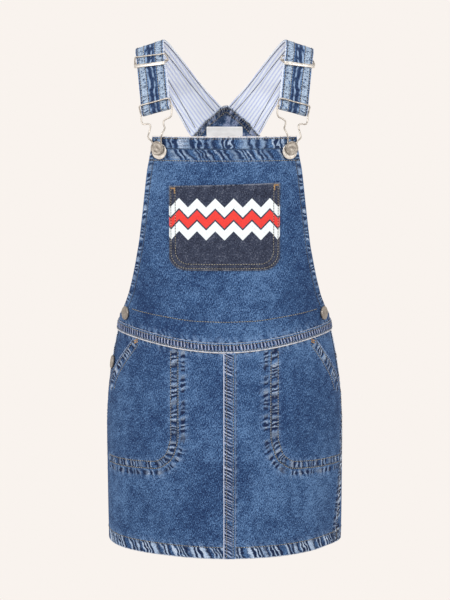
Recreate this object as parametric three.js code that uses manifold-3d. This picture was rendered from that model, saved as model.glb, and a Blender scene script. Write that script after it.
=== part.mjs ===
// A child's denim pinafore dress with a bib, buckled shoulder straps and a short skirt, filled out as if
// worn.
// Millimetres. +Z is up, -Y is the front, +X is the viewer's right as seen from the front.
// The origin is midway between the two straps, level with the top of the shoulders that hold the dress up.
import * as THREE from "three";
import { mergeVertices } from "three/addons/utils/BufferGeometryUtils.js";
import Module from "manifold-3d";

const wasm = await Module();
wasm.setup();

// Cloth and the gap between sewn pieces
const DENIM = 1.2;
const LINING = 0.9;
const LABEL_CLOTH = 1.0;
const GAP = 0.3;
const TURNED = 1.2; // how much a turned hem adds inside
const HEM_RAMP = 3; // the height over which a turned hem thickens the wall

// Levels, all measured down from the shoulders
const BIB_TOP = -114;
const BIB_HEM = 29;
const WAIST_SIDE = -363; // lower edge of the waist strip at the side seams
const WAIST_DIP = 15; // how much lower that edge is at the centre front
const WAIST_STRIP = 12;
const SKIRT_BOTTOM = -637;
const SKIRT_HEM = 15;
const YOKE_FACING_BOTTOM = -168;

// Rings of the dress: half the width, the depth of the front and the back, and how square the ring is
// (2 is an ellipse, less is pointed at the sides).
const RINGS = [
  { z: -60, halfWidth: 134, front: 80, back: 80, squareness: 2.2 },
  { z: -110, halfWidth: 134, front: 84, back: 85, squareness: 2.2 },
  { z: -200, halfWidth: 132, front: 88, back: 88, squareness: 2.15 },
  { z: -270, halfWidth: 130, front: 91, back: 86, squareness: 2.1 },
  { z: -320, halfWidth: 130.5, front: 94, back: 86, squareness: 2.0 },
  { z: -360, halfWidth: 135, front: 96, back: 89, squareness: 1.95 },
  { z: -390, halfWidth: 141, front: 98, back: 95, squareness: 1.9 },
  { z: -430, halfWidth: 147.2, front: 101, back: 102, squareness: 1.85 },
  { z: -480, halfWidth: 150.5, front: 104, back: 106, squareness: 1.85 },
  { z: -540, halfWidth: 150.5, front: 105, back: 106, squareness: 1.85 },
  { z: -600, halfWidth: 150, front: 105, back: 105, squareness: 1.9 },
  { z: -640, halfWidth: 149.5, front: 105, back: 104, squareness: 1.93 },
];

// Soft vertical folds of the skirt: where round the ring (0 is the centre front, 90 the viewer's right
// side), half the spread in degrees, the level where each starts, and how far it stands out at the hem
// (in, below 0).
const FOLDS = [
  { angle: -128, spread: 13, top: -400, depth: 3.5 },
  { angle: -152, spread: 12, top: -420, depth: -4 },
  { angle: -62, spread: 15, top: -460, depth: 2 },
  { angle: -30, spread: 14, top: -480, depth: -1.5 },
  { angle: 26, spread: 16, top: -470, depth: 1.5 },
  { angle: 62, spread: 9, top: -430, depth: -2 },
  { angle: 82, spread: 10, top: -430, depth: 1.5 },
  { angle: 131, spread: 13, top: -410, depth: 4 },
  { angle: 157, spread: 12, top: -400, depth: -3.5 },
  { angle: 180, spread: 12, top: -430, depth: 4 },
];

// Half the width of the bib and of the back, down their armhole edges
const BIB_EDGE = [
  { z: -114, halfWidth: 88 },
  { z: -155, halfWidth: 94.5 },
  { z: -211, halfWidth: 101 },
  { z: -249, halfWidth: 106 },
  { z: -288, halfWidth: 113.5 },
  { z: -308, halfWidth: 118.5 },
  { z: -320, halfWidth: 122.3 },
  { z: -329, halfWidth: 125.5 },
  { z: -336, halfWidth: 128.3 },
  { z: -341, halfWidth: 130.6 },
  { z: -345, halfWidth: 134 },
];
const BACK_EDGE = [
  { z: -126, halfWidth: 47 },
  { z: -150, halfWidth: 52 },
  { z: -190, halfWidth: 60 },
  { z: -230, halfWidth: 73 },
  { z: -270, halfWidth: 92 },
  { z: -305, halfWidth: 112 },
  { z: -322, halfWidth: 121.5 },
  { z: -334, halfWidth: 127.6 },
  { z: -341, halfWidth: 130.6 },
  { z: -345, halfWidth: 134 },
];
// The pointed top of the back, from its peak out to the armhole edge. It peaks a little right of the middle.
const YOKE_PEAK = 2;
const YOKE_TOP = [
  { out: 0, z: -82.3 },
  { out: 7, z: -85 },
  { out: 18, z: -94.5 },
  { out: 30, z: -104.5 },
  { out: 41, z: -118 },
  { out: 50, z: -129 },
  { out: 300, z: -129 },
];

// Side seams of the skirt, in degrees round the ring
const SIDE_SEAMS = [
  { z: -340, left: -90, right: 90 },
  { z: -400, left: -90, right: 88 },
  { z: -458, left: -91, right: 84 },
  { z: -520, left: -92, right: 79 },
  { z: -640, left: -94, right: 71 },
];
// Levels of the lines across the panels, close together where the form bends at the waist
const BODICE_LEVELS = [-345, -338, -328, -312, -292, -270, -245, -220, -195, -170];
const SKIRT_LEVELS = [-622, -619, -575, -535, -500, -476, -458, -438, -418, -399, -380, -360];
const YOKE_LEVELS = [-150, -136, -124, -112];
// Lines down the panels
const COLUMNS = {
  bodice: 22,
  facing: 14,
  label: 8,
  strip: 30,
  skirtFront: 14,
  skirtBack: 30,
  hip: 12,
  strap: 3,
};
const CENTRE_SEAM = { left: -1, right: 13.5 };

// Slanted openings of the hip pockets, and the pocket cloth behind them
const OPENING = { topAngle: 56.5, top: -365, bottom: -436, bow: 1.15 };
const HIP_POCKET = { innerEdge: 56.5, bottom: -529, corner: 22 };

const CHEST_POCKET = { halfWidth: 67, top: -172, tilt: 0.03, bottom: -276.5, corner: 20 };
const YOKE_LABEL = { halfWidth: 23.5, top: -110, bottom: -132 };

// Straps, from under the yoke, over the shoulder, to the start of the straight front run. `out` is the
// distance from the middle of the dress; slope and turn aim the strap's outer edge down and back.
const STRAP_PATH = [
  { out: 21.7, y: 86, z: -105.2, width: 56, slope: 43, turn: -8 },
  { out: 25.5, y: 85.5, z: -101, width: 55, slope: 43, turn: -8 },
  { out: 39, y: 79, z: -82, width: 49, slope: 41, turn: -9 },
  { out: 54, y: 67, z: -60, width: 44, slope: 36, turn: -10 },
  { out: 68, y: 51, z: -38, width: 40, slope: 30, turn: -8 },
  { out: 80.5, y: 33, z: -20, width: 38, slope: 25, turn: -4 },
  { out: 88.5, y: 16, z: -9, width: 37, slope: 20, turn: 0 },
  { out: 92.5, y: 1, z: -5, width: 36.5, slope: 18, turn: 4 },
  { out: 93, y: -13, z: -6.5, width: 36, slope: 17, turn: 9 },
  { out: 92.5, y: -24, z: -10.8, width: 36, slope: 15, turn: 14 },
  { out: 91.7, y: -30, z: -16, width: 36, slope: 14, turn: 17 },
];
const FRONT_RUN = { length: 74.5, inward: 7.7, forward: 35.3, down: 66 };
const STRAP_ON_BODY = { from: -48, to: -80 }; // the strap settles on the back between these levels
const RETURN_END = 8.5; // the returned end stops this far below the top of the front run

// Slide adjusters: wire, and the wide bar across the front
const SLIDER = { below: 8.5, halfHeight: 6.2, wire: 0.9, post: 1.1, behind: 1.2, turn: 9 };
const SLIDER_BAR = { height: 4.4, depth: 2.2, past: 2.4 };
// One end of its wire, from the top rail to the wide bar: how far it is past the strap's edge and down, and
// its share of the way back from the level of the rail or the bar to that of the post.
const SLIDER_END = [
  { past: -4, down: -6.2, level: "rail", share: 0 },
  { past: 1.4, down: -6.2, level: "rail", share: 0 },
  { past: 3, down: -4.6, level: "rail", share: 0.3 },
  { past: 4.2, down: -1.6, level: "rail", share: 0.8 },
  { past: 4.6, down: 0, level: "rail", share: 1 },
  { past: 4.2, down: 1.6, level: "bar", share: 0.8 },
  { past: 2.4, down: 4.6, level: "bar", share: 0.3 },
  { past: 0.9, down: 6.2, level: "bar", share: 0 },
  { past: -4, down: 6.2, level: "bar", share: 0 },
];

// Wire bib hooks. Half of the wire, from the middle of its top bar down to its neck: across the strap, down
// from the bar that the strap turns round, and out from that bar. The first rows follow the slope of the
// strap.
const HOOK_RADIUS = 0.95;
const WIRE_STEPS = { hook: 54, slider: 32, straight: 2, round: 3 };
const HOOK_ON_STRAP = [
  { across: 0, down: -8.5, out: 5.1 },
  { across: 17.5, down: -8.5, out: 5.1 },
  { across: 19.8, down: -7.6, out: 4.6 },
  { across: 20.5, down: -4, out: 1.8 },
];
const HOOK_WIRE = [
  { across: 20.5, down: 1, out: 0 },
  { across: 19.9, down: 10.5, out: 0 },
  { across: 18, down: 13.4, out: 0 },
  { across: 12, down: 14.6, out: 0 },
  { across: 9, down: 16.6, out: 0 },
  { across: 8.9, down: 20.5, out: 0.6 },
  { across: 10.4, down: 25.5, out: 1.2 },
];
// The same wire where it reaches the keyhole plate, up from the middle of the button
const HOOK_NECK = [
  { across: 9.6, up: 15.5, out: 0.9 },
  { across: 7, up: 11, out: 0.5 },
  { across: 5.6, up: 6.5, out: 0 },
  { across: 5.4, up: 2, out: 0 },
];
const KEYHOLE = { radius: 9.8, drop: 4, slot: 4.3, seat: 0.5, thickness: 1.6, height: 3, bevel: 0.4 };

// Metal buttons: shared cap, and the foot and neck that the bib pair stand on
const BUTTON_CAP = { radius: 8.5, thickness: 2.8, rim: 1.3, dish: 0.5 };
const BIB_BUTTON = { x: 79, z: -128, foot: 5, footHeight: 0.8, neck: 3.5, capAt: 5 };
// Where the side buttons sit, in degrees round the ring, and the offset of the face they stand on
const SIDE_BUTTONS = [
  { name: "side_button_upper_left", angle: -68.5, z: -338, onto: DENIM },
  { name: "side_button_upper_right", angle: 69, z: -338, onto: DENIM },
  { name: "side_button_lower_left", angle: -83, z: -405, onto: -GAP },
  { name: "side_button_lower_right", angle: 104, z: -403, onto: DENIM },
];

const COLOURS = { denim: 0x48648a, navy: 0x343c50, lining: 0xc3cadb, label: 0xeceae4, metal: 0xb9b2a8 };

const degrees = THREE.MathUtils.degToRad;
const lerp = THREE.MathUtils.lerp;

// The value of one column of a table at a level, smoothly between its rows.
function column(table, name, at, key = "z") {
  const falling = table[0][key] > table[table.length - 1][key];
  const rows = falling ? table : [...table].reverse();
  const last = rows.length - 1;
  if (at >= rows[0][key]) return rows[0][name];
  if (at <= rows[last][key]) return rows[last][name];
  const i = rows.findIndex((row, k) => k < last && at >= rows[k + 1][key]);
  const slope = (k) => {
    if (k === 0 || k === last) return 0;
    return (rows[k + 1][name] - rows[k - 1][name]) / (rows[k + 1][key] - rows[k - 1][key]);
  };
  const span = rows[i + 1][key] - rows[i][key];
  const t = (at - rows[i][key]) / span;
  const rise = t * t * (3 - 2 * t);
  const bend = (t ** 3 - 2 * t * t + t) * slope(i) + (t ** 3 - t * t) * slope(i + 1);
  return lerp(rows[i][name], rows[i + 1][name], rise) + bend * span;
}

function easeBetween(value, from, to) {
  const t = THREE.MathUtils.clamp((value - from) / (to - from), 0, 1);
  return t * t * (3 - 2 * t);
}

// How far the skirt's folds move the cloth out at a place.
function foldAt(angle, z) {
  return FOLDS.reduce((sum, fold) => {
    const turn = ((angle - fold.angle + 540) % 360) - 180;
    return sum + fold.depth * Math.exp(-((turn / fold.spread) ** 2)) * easeBetween(z, fold.top, SKIRT_BOTTOM);
  }, 0);
}

// A point of the form that the inner face of the cloth lies on.
function formPoint(angle, z) {
  const halfWidth = column(RINGS, "halfWidth", z);
  const power = 2 / column(RINGS, "squareness", z);
  const sine = Math.sin(degrees(angle));
  const cosine = Math.cos(degrees(angle));
  const depth = column(RINGS, cosine >= 0 ? "front" : "back", z);
  const x = halfWidth * Math.sign(sine) * Math.abs(sine) ** power;
  const y = -depth * Math.sign(cosine) * Math.abs(cosine) ** power;
  const outward = new THREE.Vector3(x / halfWidth ** 2, y / depth ** 2, 0).normalize();
  return new THREE.Vector3(x, y, z).addScaledVector(outward, foldAt(angle, z));
}

function formNormal(angle, z) {
  const round = formPoint(angle + 0.5, z).sub(formPoint(angle - 0.5, z));
  const up = formPoint(angle, z + 1).sub(formPoint(angle, z - 1));
  return round.cross(up).normalize();
}

const clothPoint = (angle, z, offset) => formPoint(angle, z).addScaledVector(formNormal(angle, z), offset);

// The angle, from 0 to 90, at which the ring at a level is this far from the middle.
function angleAt(x, z) {
  const share = Math.min(1, x / column(RINGS, "halfWidth", z));
  return THREE.MathUtils.radToDeg(Math.asin(share ** (column(RINGS, "squareness", z) / 2)));
}

const frontDip = (angle) => WAIST_DIP * Math.max(0, Math.cos(degrees(angle))) ** 3;
const waistLow = (angle) => WAIST_SIDE - frontDip(angle);
const waistMiddle = (angle) => waistLow(angle) + WAIST_STRIP / 2;
const leftSeam = (z) => column(SIDE_SEAMS, "left", z);
const rightSeam = (z) => column(SIDE_SEAMS, "right", z);
// Degrees that a gap of 0.3 mm spans at the sides of the ring
const SIDE_GAP = 0.2;

function signedVolume(positions, index) {
  const corner = (i) => new THREE.Vector3().fromArray(positions, 3 * index[i]);
  let sum = 0;
  for (let i = 0; i < index.length; i += 3) sum += corner(i).dot(corner(i + 1).cross(corner(i + 2)));
  return sum / 6;
}

// A closed wall between two faces of a grid. place(column, row, face) gives a point; face 0 is the inside.
function wall(columns, rows, place) {
  const positions = [];
  const index = [];
  for (const face of [0, 1])
    for (let r = 0; r <= rows; r++)
      for (let c = 0; c <= columns; c++) positions.push(...place(c, r, face).toArray());
  const id = (c, r, face) => face * (columns + 1) * (rows + 1) + r * (columns + 1) + c;
  const at = (i) => new THREE.Vector3().fromArray(positions, 3 * i);
  const quad = (a, b, c, d) => {
    // Split along the shorter diagonal, which stays closer to the form.
    if (at(a).distanceTo(at(c)) <= at(b).distanceTo(at(d))) index.push(a, b, c, a, c, d);
    else index.push(a, b, d, b, c, d);
  };
  for (let r = 0; r < rows; r++)
    for (let c = 0; c < columns; c++) {
      quad(id(c, r, 1), id(c + 1, r, 1), id(c + 1, r + 1, 1), id(c, r + 1, 1));
      quad(id(c, r, 0), id(c, r + 1, 0), id(c + 1, r + 1, 0), id(c + 1, r, 0));
    }
  for (let c = 0; c < columns; c++) {
    quad(id(c, 0, 0), id(c + 1, 0, 0), id(c + 1, 0, 1), id(c, 0, 1));
    quad(id(c, rows, 1), id(c + 1, rows, 1), id(c + 1, rows, 0), id(c, rows, 0));
  }
  for (let r = 0; r < rows; r++) {
    quad(id(0, r, 0), id(0, r, 1), id(0, r + 1, 1), id(0, r + 1, 0));
    quad(id(columns, r, 1), id(columns, r, 0), id(columns, r + 1, 0), id(columns, r + 1, 1));
  }
  if (signedVolume(positions, index) < 0) index.reverse();
  const geometry = new THREE.BufferGeometry();
  geometry.setAttribute("position", new THREE.Float32BufferAttribute(positions, 3));
  geometry.setIndex(index);
  geometry.computeVertexNormals();
  return geometry;
}

// Shares from 0 to 1 with lines at the given stops, and about `count` steps in all.
function sharesThrough(count, stops = []) {
  const marks = [0, ...stops, 1];
  return marks.slice(1).reduce(
    (shares, mark, i) => {
      const steps = Math.max(1, Math.round(count * (mark - marks[i])));
      for (let k = 1; k <= steps; k++) shares.push(lerp(marks[i], mark, k / steps));
      return shares;
    },
    [0],
  );
}

// The same for a piece between two ends, with a line at each of the levels between them.
const sharesAt = (bottom, top, levels) => [0, ...levels.map((z) => (z - bottom) / (top - bottom)), 1];

// A cut piece of cloth on the form. left and right give its edges as angles at a level, bottom and top give
// its ends as levels at an angle, inner and outer give its faces as offsets from the form.
function clothPiece({ left, right, bottom, top, across, up, inner, outer }) {
  const edge = (side, v) => {
    let angle = side(lerp(bottom(0), top(0), v));
    for (let k = 0; k < 6; k++) angle = side(lerp(bottom(angle), top(angle), v));
    return angle;
  };
  const ends = up.map((v) => [edge(left, v), edge(right, v)]);
  return wall(across.length - 1, up.length - 1, (c, r, face) => {
    const angle = lerp(ends[r][0], ends[r][1], across[c]);
    const z = lerp(bottom(angle), top(angle), up[r]);
    return clothPoint(angle, z, face ? outer(angle, z) : inner(angle, z));
  });
}

const flat = (offset) => () => offset;
const over = { inner: flat(DENIM + GAP), outer: flat(2 * DENIM + GAP) };
const under = { inner: flat(-DENIM - GAP), outer: flat(-GAP) };

function bib() {
  const hemLine = BIB_TOP - BIB_HEM;
  const edge = (z) => Math.min(90 - SIDE_GAP / 2, angleAt(column(BIB_EDGE, "halfWidth", z), z));
  return clothPiece({
    left: (z) => -edge(z),
    right: edge,
    bottom: (angle) => waistMiddle(angle) + GAP / 2,
    top: flat(BIB_TOP),
    across: sharesThrough(COLUMNS.bodice),
    up: sharesAt(WAIST_SIDE + WAIST_STRIP / 2, BIB_TOP, [...BODICE_LEVELS, hemLine - HEM_RAMP, hemLine]),
    inner: (angle, z) => -TURNED * easeBetween(z, hemLine - HEM_RAMP, hemLine),
    outer: flat(DENIM),
  });
}

const yokeTop = (angle) => column(YOKE_TOP, "z", Math.abs(formPoint(angle, -110).x - YOKE_PEAK), "out");

const backEdge = (z) => Math.min(90 - SIDE_GAP / 2, angleAt(column(BACK_EDGE, "halfWidth", z), z));
const strapThickness = LINING + GAP + DENIM;
// The back lies outside the ends of the straps at the yoke.
const yokeLift = (angle, z) => (strapThickness + GAP) * easeBetween(z, -195, -150);

function back() {
  return clothPiece({
    left: (z) => 180 - backEdge(z),
    right: (z) => 180 + backEdge(z),
    bottom: (angle) => waistMiddle(angle) + GAP / 2,
    top: yokeTop,
    across: sharesThrough(COLUMNS.bodice),
    up: sharesAt(WAIST_SIDE + WAIST_STRIP / 2, YOKE_TOP[2].z, [...BODICE_LEVELS, ...YOKE_LEVELS]),
    inner: yokeLift,
    outer: (angle, z) => yokeLift(angle, z) + DENIM,
  });
}

function yokeFacing() {
  return clothPiece({
    left: (z) => 180 - backEdge(z),
    right: (z) => 180 + backEdge(z),
    bottom: flat(YOKE_FACING_BOTTOM),
    top: yokeTop,
    across: sharesThrough(COLUMNS.facing),
    up: sharesThrough(5),
    ...under,
  });
}

function yokeLabel() {
  const edge = (z) => angleAt(YOKE_LABEL.halfWidth, z);
  return clothPiece({
    left: (z) => 180 - edge(z),
    right: (z) => 180 + edge(z),
    bottom: flat(YOKE_LABEL.bottom),
    top: flat(YOKE_LABEL.top),
    across: sharesThrough(COLUMNS.label),
    up: sharesThrough(2),
    inner: flat(-DENIM - 2 * GAP - LABEL_CLOTH),
    outer: flat(-DENIM - 2 * GAP),
  });
}

// The felled strip that covers the waist seam, over one half of the ring.
function waistStrip(from, to) {
  return clothPiece({
    left: flat(from + SIDE_GAP / 2),
    right: flat(to - SIDE_GAP / 2),
    bottom: waistLow,
    top: (angle) => waistLow(angle) + WAIST_STRIP,
    across: sharesThrough(COLUMNS.strip),
    up: sharesThrough(2),
    ...over,
  });
}

const skirtHemLine = SKIRT_BOTTOM + SKIRT_HEM;
const hemInner = (angle, z) => -TURNED * (1 - easeBetween(z, skirtHemLine, skirtHemLine + HEM_RAMP));
const skirtShares = sharesAt(SKIRT_BOTTOM, WAIST_SIDE + WAIST_STRIP / 2, SKIRT_LEVELS);

// The free edge of a skirt front: the slanted pocket opening above its foot, the side seam below.
function frontSkirtEdge(side, z) {
  const seam = side < 0 ? -leftSeam(z) : rightSeam(z);
  if (z <= OPENING.bottom) return seam - SIDE_GAP / 2;
  const share = Math.min(1, (OPENING.top - z) / (OPENING.top - OPENING.bottom));
  return lerp(OPENING.topAngle, seam - SIDE_GAP / 2, Math.max(0, share) ** OPENING.bow);
}

function skirtFront(side) {
  const centre = (z) => side * angleAt(GAP / 2, z);
  const free = (z) => side * frontSkirtEdge(side, z);
  return clothPiece({
    left: side < 0 ? free : centre,
    right: side < 0 ? centre : free,
    bottom: flat(SKIRT_BOTTOM),
    top: (angle) => waistMiddle(angle) - GAP / 2,
    across: sharesThrough(COLUMNS.skirtFront),
    up: skirtShares,
    inner: hemInner,
    outer: flat(DENIM),
  });
}

function skirtBack() {
  return clothPiece({
    left: (z) => rightSeam(z) + SIDE_GAP / 2,
    right: (z) => 360 + leftSeam(z) - SIDE_GAP / 2,
    bottom: flat(SKIRT_BOTTOM),
    top: (angle) => waistMiddle(angle) - GAP / 2,
    across: sharesThrough(COLUMNS.skirtBack),
    up: skirtShares,
    inner: hemInner,
    outer: flat(DENIM),
  });
}

// The bottom level of a pocket with a rounded corner at each named edge.
function roundedBottom(x, edges, corner, bottom) {
  const near = Math.min(...edges.map((edge) => Math.abs(x - edge)));
  if (near >= corner) return bottom;
  return bottom + corner - Math.sqrt(Math.max(0, corner ** 2 - (corner - near) ** 2));
}

// The denim behind a hip pocket, which shows as the hip at the slanted opening.
function hipPocket(side) {
  const inner = (z) => side * angleAt(HIP_POCKET.innerEdge, z);
  const seam = (z) => (side < 0 ? leftSeam(z) + SIDE_GAP / 2 : rightSeam(z) - SIDE_GAP / 2);
  return clothPiece({
    left: side < 0 ? seam : inner,
    right: side < 0 ? inner : seam,
    bottom: (angle) => {
      const x = Math.abs(formPoint(angle, HIP_POCKET.bottom).x);
      return roundedBottom(x, [HIP_POCKET.innerEdge - 0.5], HIP_POCKET.corner, HIP_POCKET.bottom);
    },
    top: (angle) => waistMiddle(angle) - GAP / 2,
    across: sharesThrough(COLUMNS.hip),
    up: sharesAt(HIP_POCKET.bottom, WAIST_SIDE + WAIST_STRIP / 2, SKIRT_LEVELS.slice(4)),
    inner: flat(-DENIM - 2 * GAP),
    outer: flat(-2 * GAP),
  });
}

function chestPocket() {
  const edge = (z) => angleAt(CHEST_POCKET.halfWidth, z);
  const xAt = (angle) => formPoint(angle, CHEST_POCKET.bottom).x;
  const edges = [-CHEST_POCKET.halfWidth - 0.5, CHEST_POCKET.halfWidth + 0.5];
  return clothPiece({
    left: (z) => -edge(z),
    right: edge,
    bottom: (angle) => roundedBottom(xAt(angle), edges, CHEST_POCKET.corner, CHEST_POCKET.bottom),
    top: (angle) => CHEST_POCKET.top + CHEST_POCKET.tilt * xAt(angle),
    across: [0, 0.02, 0.06, ...sharesThrough(10).slice(1, -1), 0.94, 0.98, 1],
    up: sharesThrough(9),
    ...over,
  });
}

// The felled seam down the centre front, lapped to the viewer's right.
function centreSeam() {
  return clothPiece({
    left: (z) => -angleAt(-CENTRE_SEAM.left, z),
    right: (z) => angleAt(CENTRE_SEAM.right, z),
    bottom: flat(SKIRT_BOTTOM),
    top: (angle) => waistLow(angle) - GAP,
    across: sharesThrough(3),
    up: sharesThrough(14),
    ...over,
  });
}

// A strap as stations along it: a point on the face of the lining, the way to the outer edge, the normal and
// the width.
function strapStations(side) {
  const points = STRAP_PATH.map((row) => new THREE.Vector3(side * row.out, row.y, row.z));
  const run = new THREE.Vector3(-side * FRONT_RUN.inward, -FRONT_RUN.forward, -FRONT_RUN.down).normalize();
  const runTop = points[points.length - 1];
  const runEnd = runTop.clone().addScaledVector(run, FRONT_RUN.length);
  const rows = [...STRAP_PATH];
  for (const share of [0.15, 0.5, 1]) {
    points.push(runTop.clone().lerp(runEnd, share));
    rows.push(STRAP_PATH[STRAP_PATH.length - 1]);
  }
  const curve = new THREE.CatmullRomCurve3(points, false, "centripetal");
  const stations = [];
  const stepsPerRow = 2;
  const last = (points.length - 1) * stepsPerRow;
  for (let k = 0; k <= last; k++) {
    const at = k / last;
    const row = Math.min(rows.length - 2, Math.floor(at * (rows.length - 1)));
    const mix = at * (rows.length - 1) - row;
    const value = (name) => lerp(rows[row][name], rows[row + 1][name], mix);
    const slope = degrees(value("slope"));
    const turn = degrees(value("turn"));
    const along = row >= STRAP_PATH.length - 1 ? run.clone() : curve.getTangent(at);
    const edge = new THREE.Vector3(side * Math.cos(slope), Math.tan(turn), -Math.sin(slope));
    edge.addScaledVector(along, -edge.dot(along)).normalize();
    const normal = along.clone().cross(edge).multiplyScalar(side);
    stations.push({ point: curve.getPoint(at), edge, normal, along, width: value("width") });
  }
  return { stations, runTop, run };
}

// The bar that the strap turns round: its centre is this far in from the face of the lining.
const BAR_IN = SLIDER.post + GAP;

// The strap carried on round the hook's bar and back up behind itself.
function strapWithReturn(side) {
  const { stations } = strapStations(side);
  const end = stations[stations.length - 1];
  const bar = end.point.clone().addScaledVector(end.normal, -BAR_IN);
  for (let turn = 30; turn <= 180; turn += 30) {
    const normal = end.normal.clone().multiplyScalar(Math.cos(degrees(turn)));
    normal.addScaledVector(end.along, Math.sin(degrees(turn)));
    stations.push({ ...end, normal, point: bar.clone().addScaledVector(normal, BAR_IN) });
  }
  const turned = stations[stations.length - 1];
  const back = FRONT_RUN.length - RETURN_END;
  for (const share of [0.33, 0.66, 1])
    stations.push({ ...turned, point: turned.point.clone().addScaledVector(end.along, -share * back) });
  return stations;
}

// One layer of a strap. Near the yoke it follows the back instead of lying flat across.
function strapLayer(side, from, to) {
  const stations = strapWithReturn(side);
  return wall(COLUMNS.strap, stations.length - 1, (c, r, face) => {
    const { point, edge, normal, width } = stations[r];
    const offset = face ? to : from;
    const place = point.clone().addScaledVector(edge, width * (c / COLUMNS.strap - 0.5));
    const onBack = place.y > 0 ? easeBetween(place.z, STRAP_ON_BODY.from, STRAP_ON_BODY.to) : 0;
    const angle = 180 - Math.sign(place.x) * angleAt(Math.abs(place.x), place.z);
    const settled = clothPoint(angle, place.z, offset);
    return place.addScaledVector(normal, offset).lerp(settled, onBack);
  });
}

// A geometry as a manifold-3d solid, and back.
function toSolid(geometry) {
  const bare = geometry.clone();
  bare.deleteAttribute("normal");
  bare.deleteAttribute("uv");
  const merged = mergeVertices(bare, 1e-4);
  const made = new wasm.Manifold(
    new wasm.Mesh({
      numProp: 3,
      vertProperties: new Float32Array(merged.attributes.position.array),
      triVerts: new Uint32Array(merged.index.array),
    }),
  );
  return made;
}

function fromSolid(solid) {
  const mesh = solid.getMesh();
  const geometry = new THREE.BufferGeometry();
  geometry.setAttribute("position", new THREE.BufferAttribute(new Float32Array(mesh.vertProperties), 3));
  geometry.setIndex(new THREE.BufferAttribute(new Uint32Array(mesh.triVerts), 1));
  geometry.computeVertexNormals();
  return geometry;
}

const joined = (geometries) => fromSolid(geometries.map(toSolid).reduce((sum, solid) => sum.add(solid)));

function wire(points, radius, steps) {
  const section = new THREE.Shape();
  section.absarc(0, 0, radius, 0, 2 * Math.PI, false);
  const path = new THREE.CatmullRomCurve3(points, false, "centripetal");
  return new THREE.ExtrudeGeometry(section, {
    extrudePath: path,
    steps,
    curveSegments: WIRE_STEPS.round,
    bevelEnabled: false,
  });
}

// A block placed by the directions of a frame.
function block(frame, centre, length, { height, depth }) {
  const basis = new THREE.Matrix4().makeBasis(frame.down.clone().cross(frame.out), frame.down, frame.out);
  return new THREE.BoxGeometry(length, height, depth).applyMatrix4(basis.setPosition(centre));
}

const placeIn = (frame, across, down, out) =>
  frame.origin
    .clone()
    .addScaledVector(frame.across, across)
    .addScaledVector(frame.down, down)
    .addScaledVector(frame.out, out);

// The slide adjuster near the shoulder. Its top wire lies over the strap on one side of the dress and under
// it on the other, and its post lies behind the strap.
function slider(side) {
  const { stations, runTop, run } = strapStations(side);
  const { edge, normal, width } = stations[stations.length - 1];
  const origin = runTop.clone().addScaledVector(run, SLIDER.below);
  // It hangs turned a little in the plane of the strap, so its bar is nearer level.
  const tilt = side * degrees(SLIDER.turn);
  const across = edge.clone().applyAxisAngle(normal, tilt);
  const frame = { origin, across, down: run.clone().applyAxisAngle(normal, tilt), out: normal };
  const half = width / 2;
  const front = strapThickness + GAP + SLIDER.wire;
  const topOut = side < 0 ? front : -BAR_IN - SLIDER.behind;
  const barOut = strapThickness + GAP + SLIDER_BAR.depth / 2;
  const outAt = { rail: topOut, bar: barOut };
  const endWire = (way) =>
    SLIDER_END.map(({ past, down, level, share }) =>
      placeIn(frame, way * (half + past), down, lerp(outAt[level], -BAR_IN, share)),
    );
  const reach = half + Math.max(...SLIDER_END.map((row) => row.past));
  return joined([
    wire([...endWire(-1).reverse(), ...endWire(1)], SLIDER.wire, WIRE_STEPS.slider),
    wire([-reach, 0, reach].map((x) => placeIn(frame, x, 0, -BAR_IN)), SLIDER.post, WIRE_STEPS.straight),
    block(frame, placeIn(frame, 0, SLIDER.halfHeight, barOut), width + 2 * SLIDER_BAR.past, SLIDER_BAR),
  ]);
}

// The directions of a button on the cloth: out from it, across the hook and down.
function buttonFrame(side, across) {
  const angle = side * angleAt(BIB_BUTTON.x, BIB_BUTTON.z);
  const out = formNormal(angle, BIB_BUTTON.z);
  const level = across.clone().addScaledVector(out, -across.dot(out)).normalize();
  const down = level.clone().cross(out).multiplyScalar(side);
  return { origin: clothPoint(angle, BIB_BUTTON.z, DENIM + GAP), across: level, down, out };
}

// The horseshoe plate of the hook, which seats on the neck of the button from below.
function keyholePlate(frame) {
  const { radius, drop, slot, seat, thickness, height, bevel } = KEYHOLE;
  const mouth = Math.sqrt(radius ** 2 - slot ** 2);
  const outline = new THREE.Shape();
  outline.moveTo(slot, mouth);
  outline.absarc(0, 0, radius, Math.atan2(mouth, slot), Math.atan2(mouth, -slot) - 2 * Math.PI, true);
  outline.lineTo(-slot, drop + seat);
  outline.absarc(0, drop + seat, slot, Math.PI, 2 * Math.PI, false);
  const plate = new THREE.ExtrudeGeometry(outline, {
    depth: thickness - 2 * bevel,
    curveSegments: 8,
    bevelThickness: bevel,
    bevelSize: bevel,
    bevelOffset: -bevel,
    bevelSegments: 1,
  });
  plate.translate(0, 0, bevel - thickness / 2);
  const up = frame.down.clone().negate();
  const basis = new THREE.Matrix4().makeBasis(up.clone().cross(frame.out), up, frame.out);
  return plate.applyMatrix4(basis.setPosition(placeIn(frame, 0, drop, height)));
}

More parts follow.
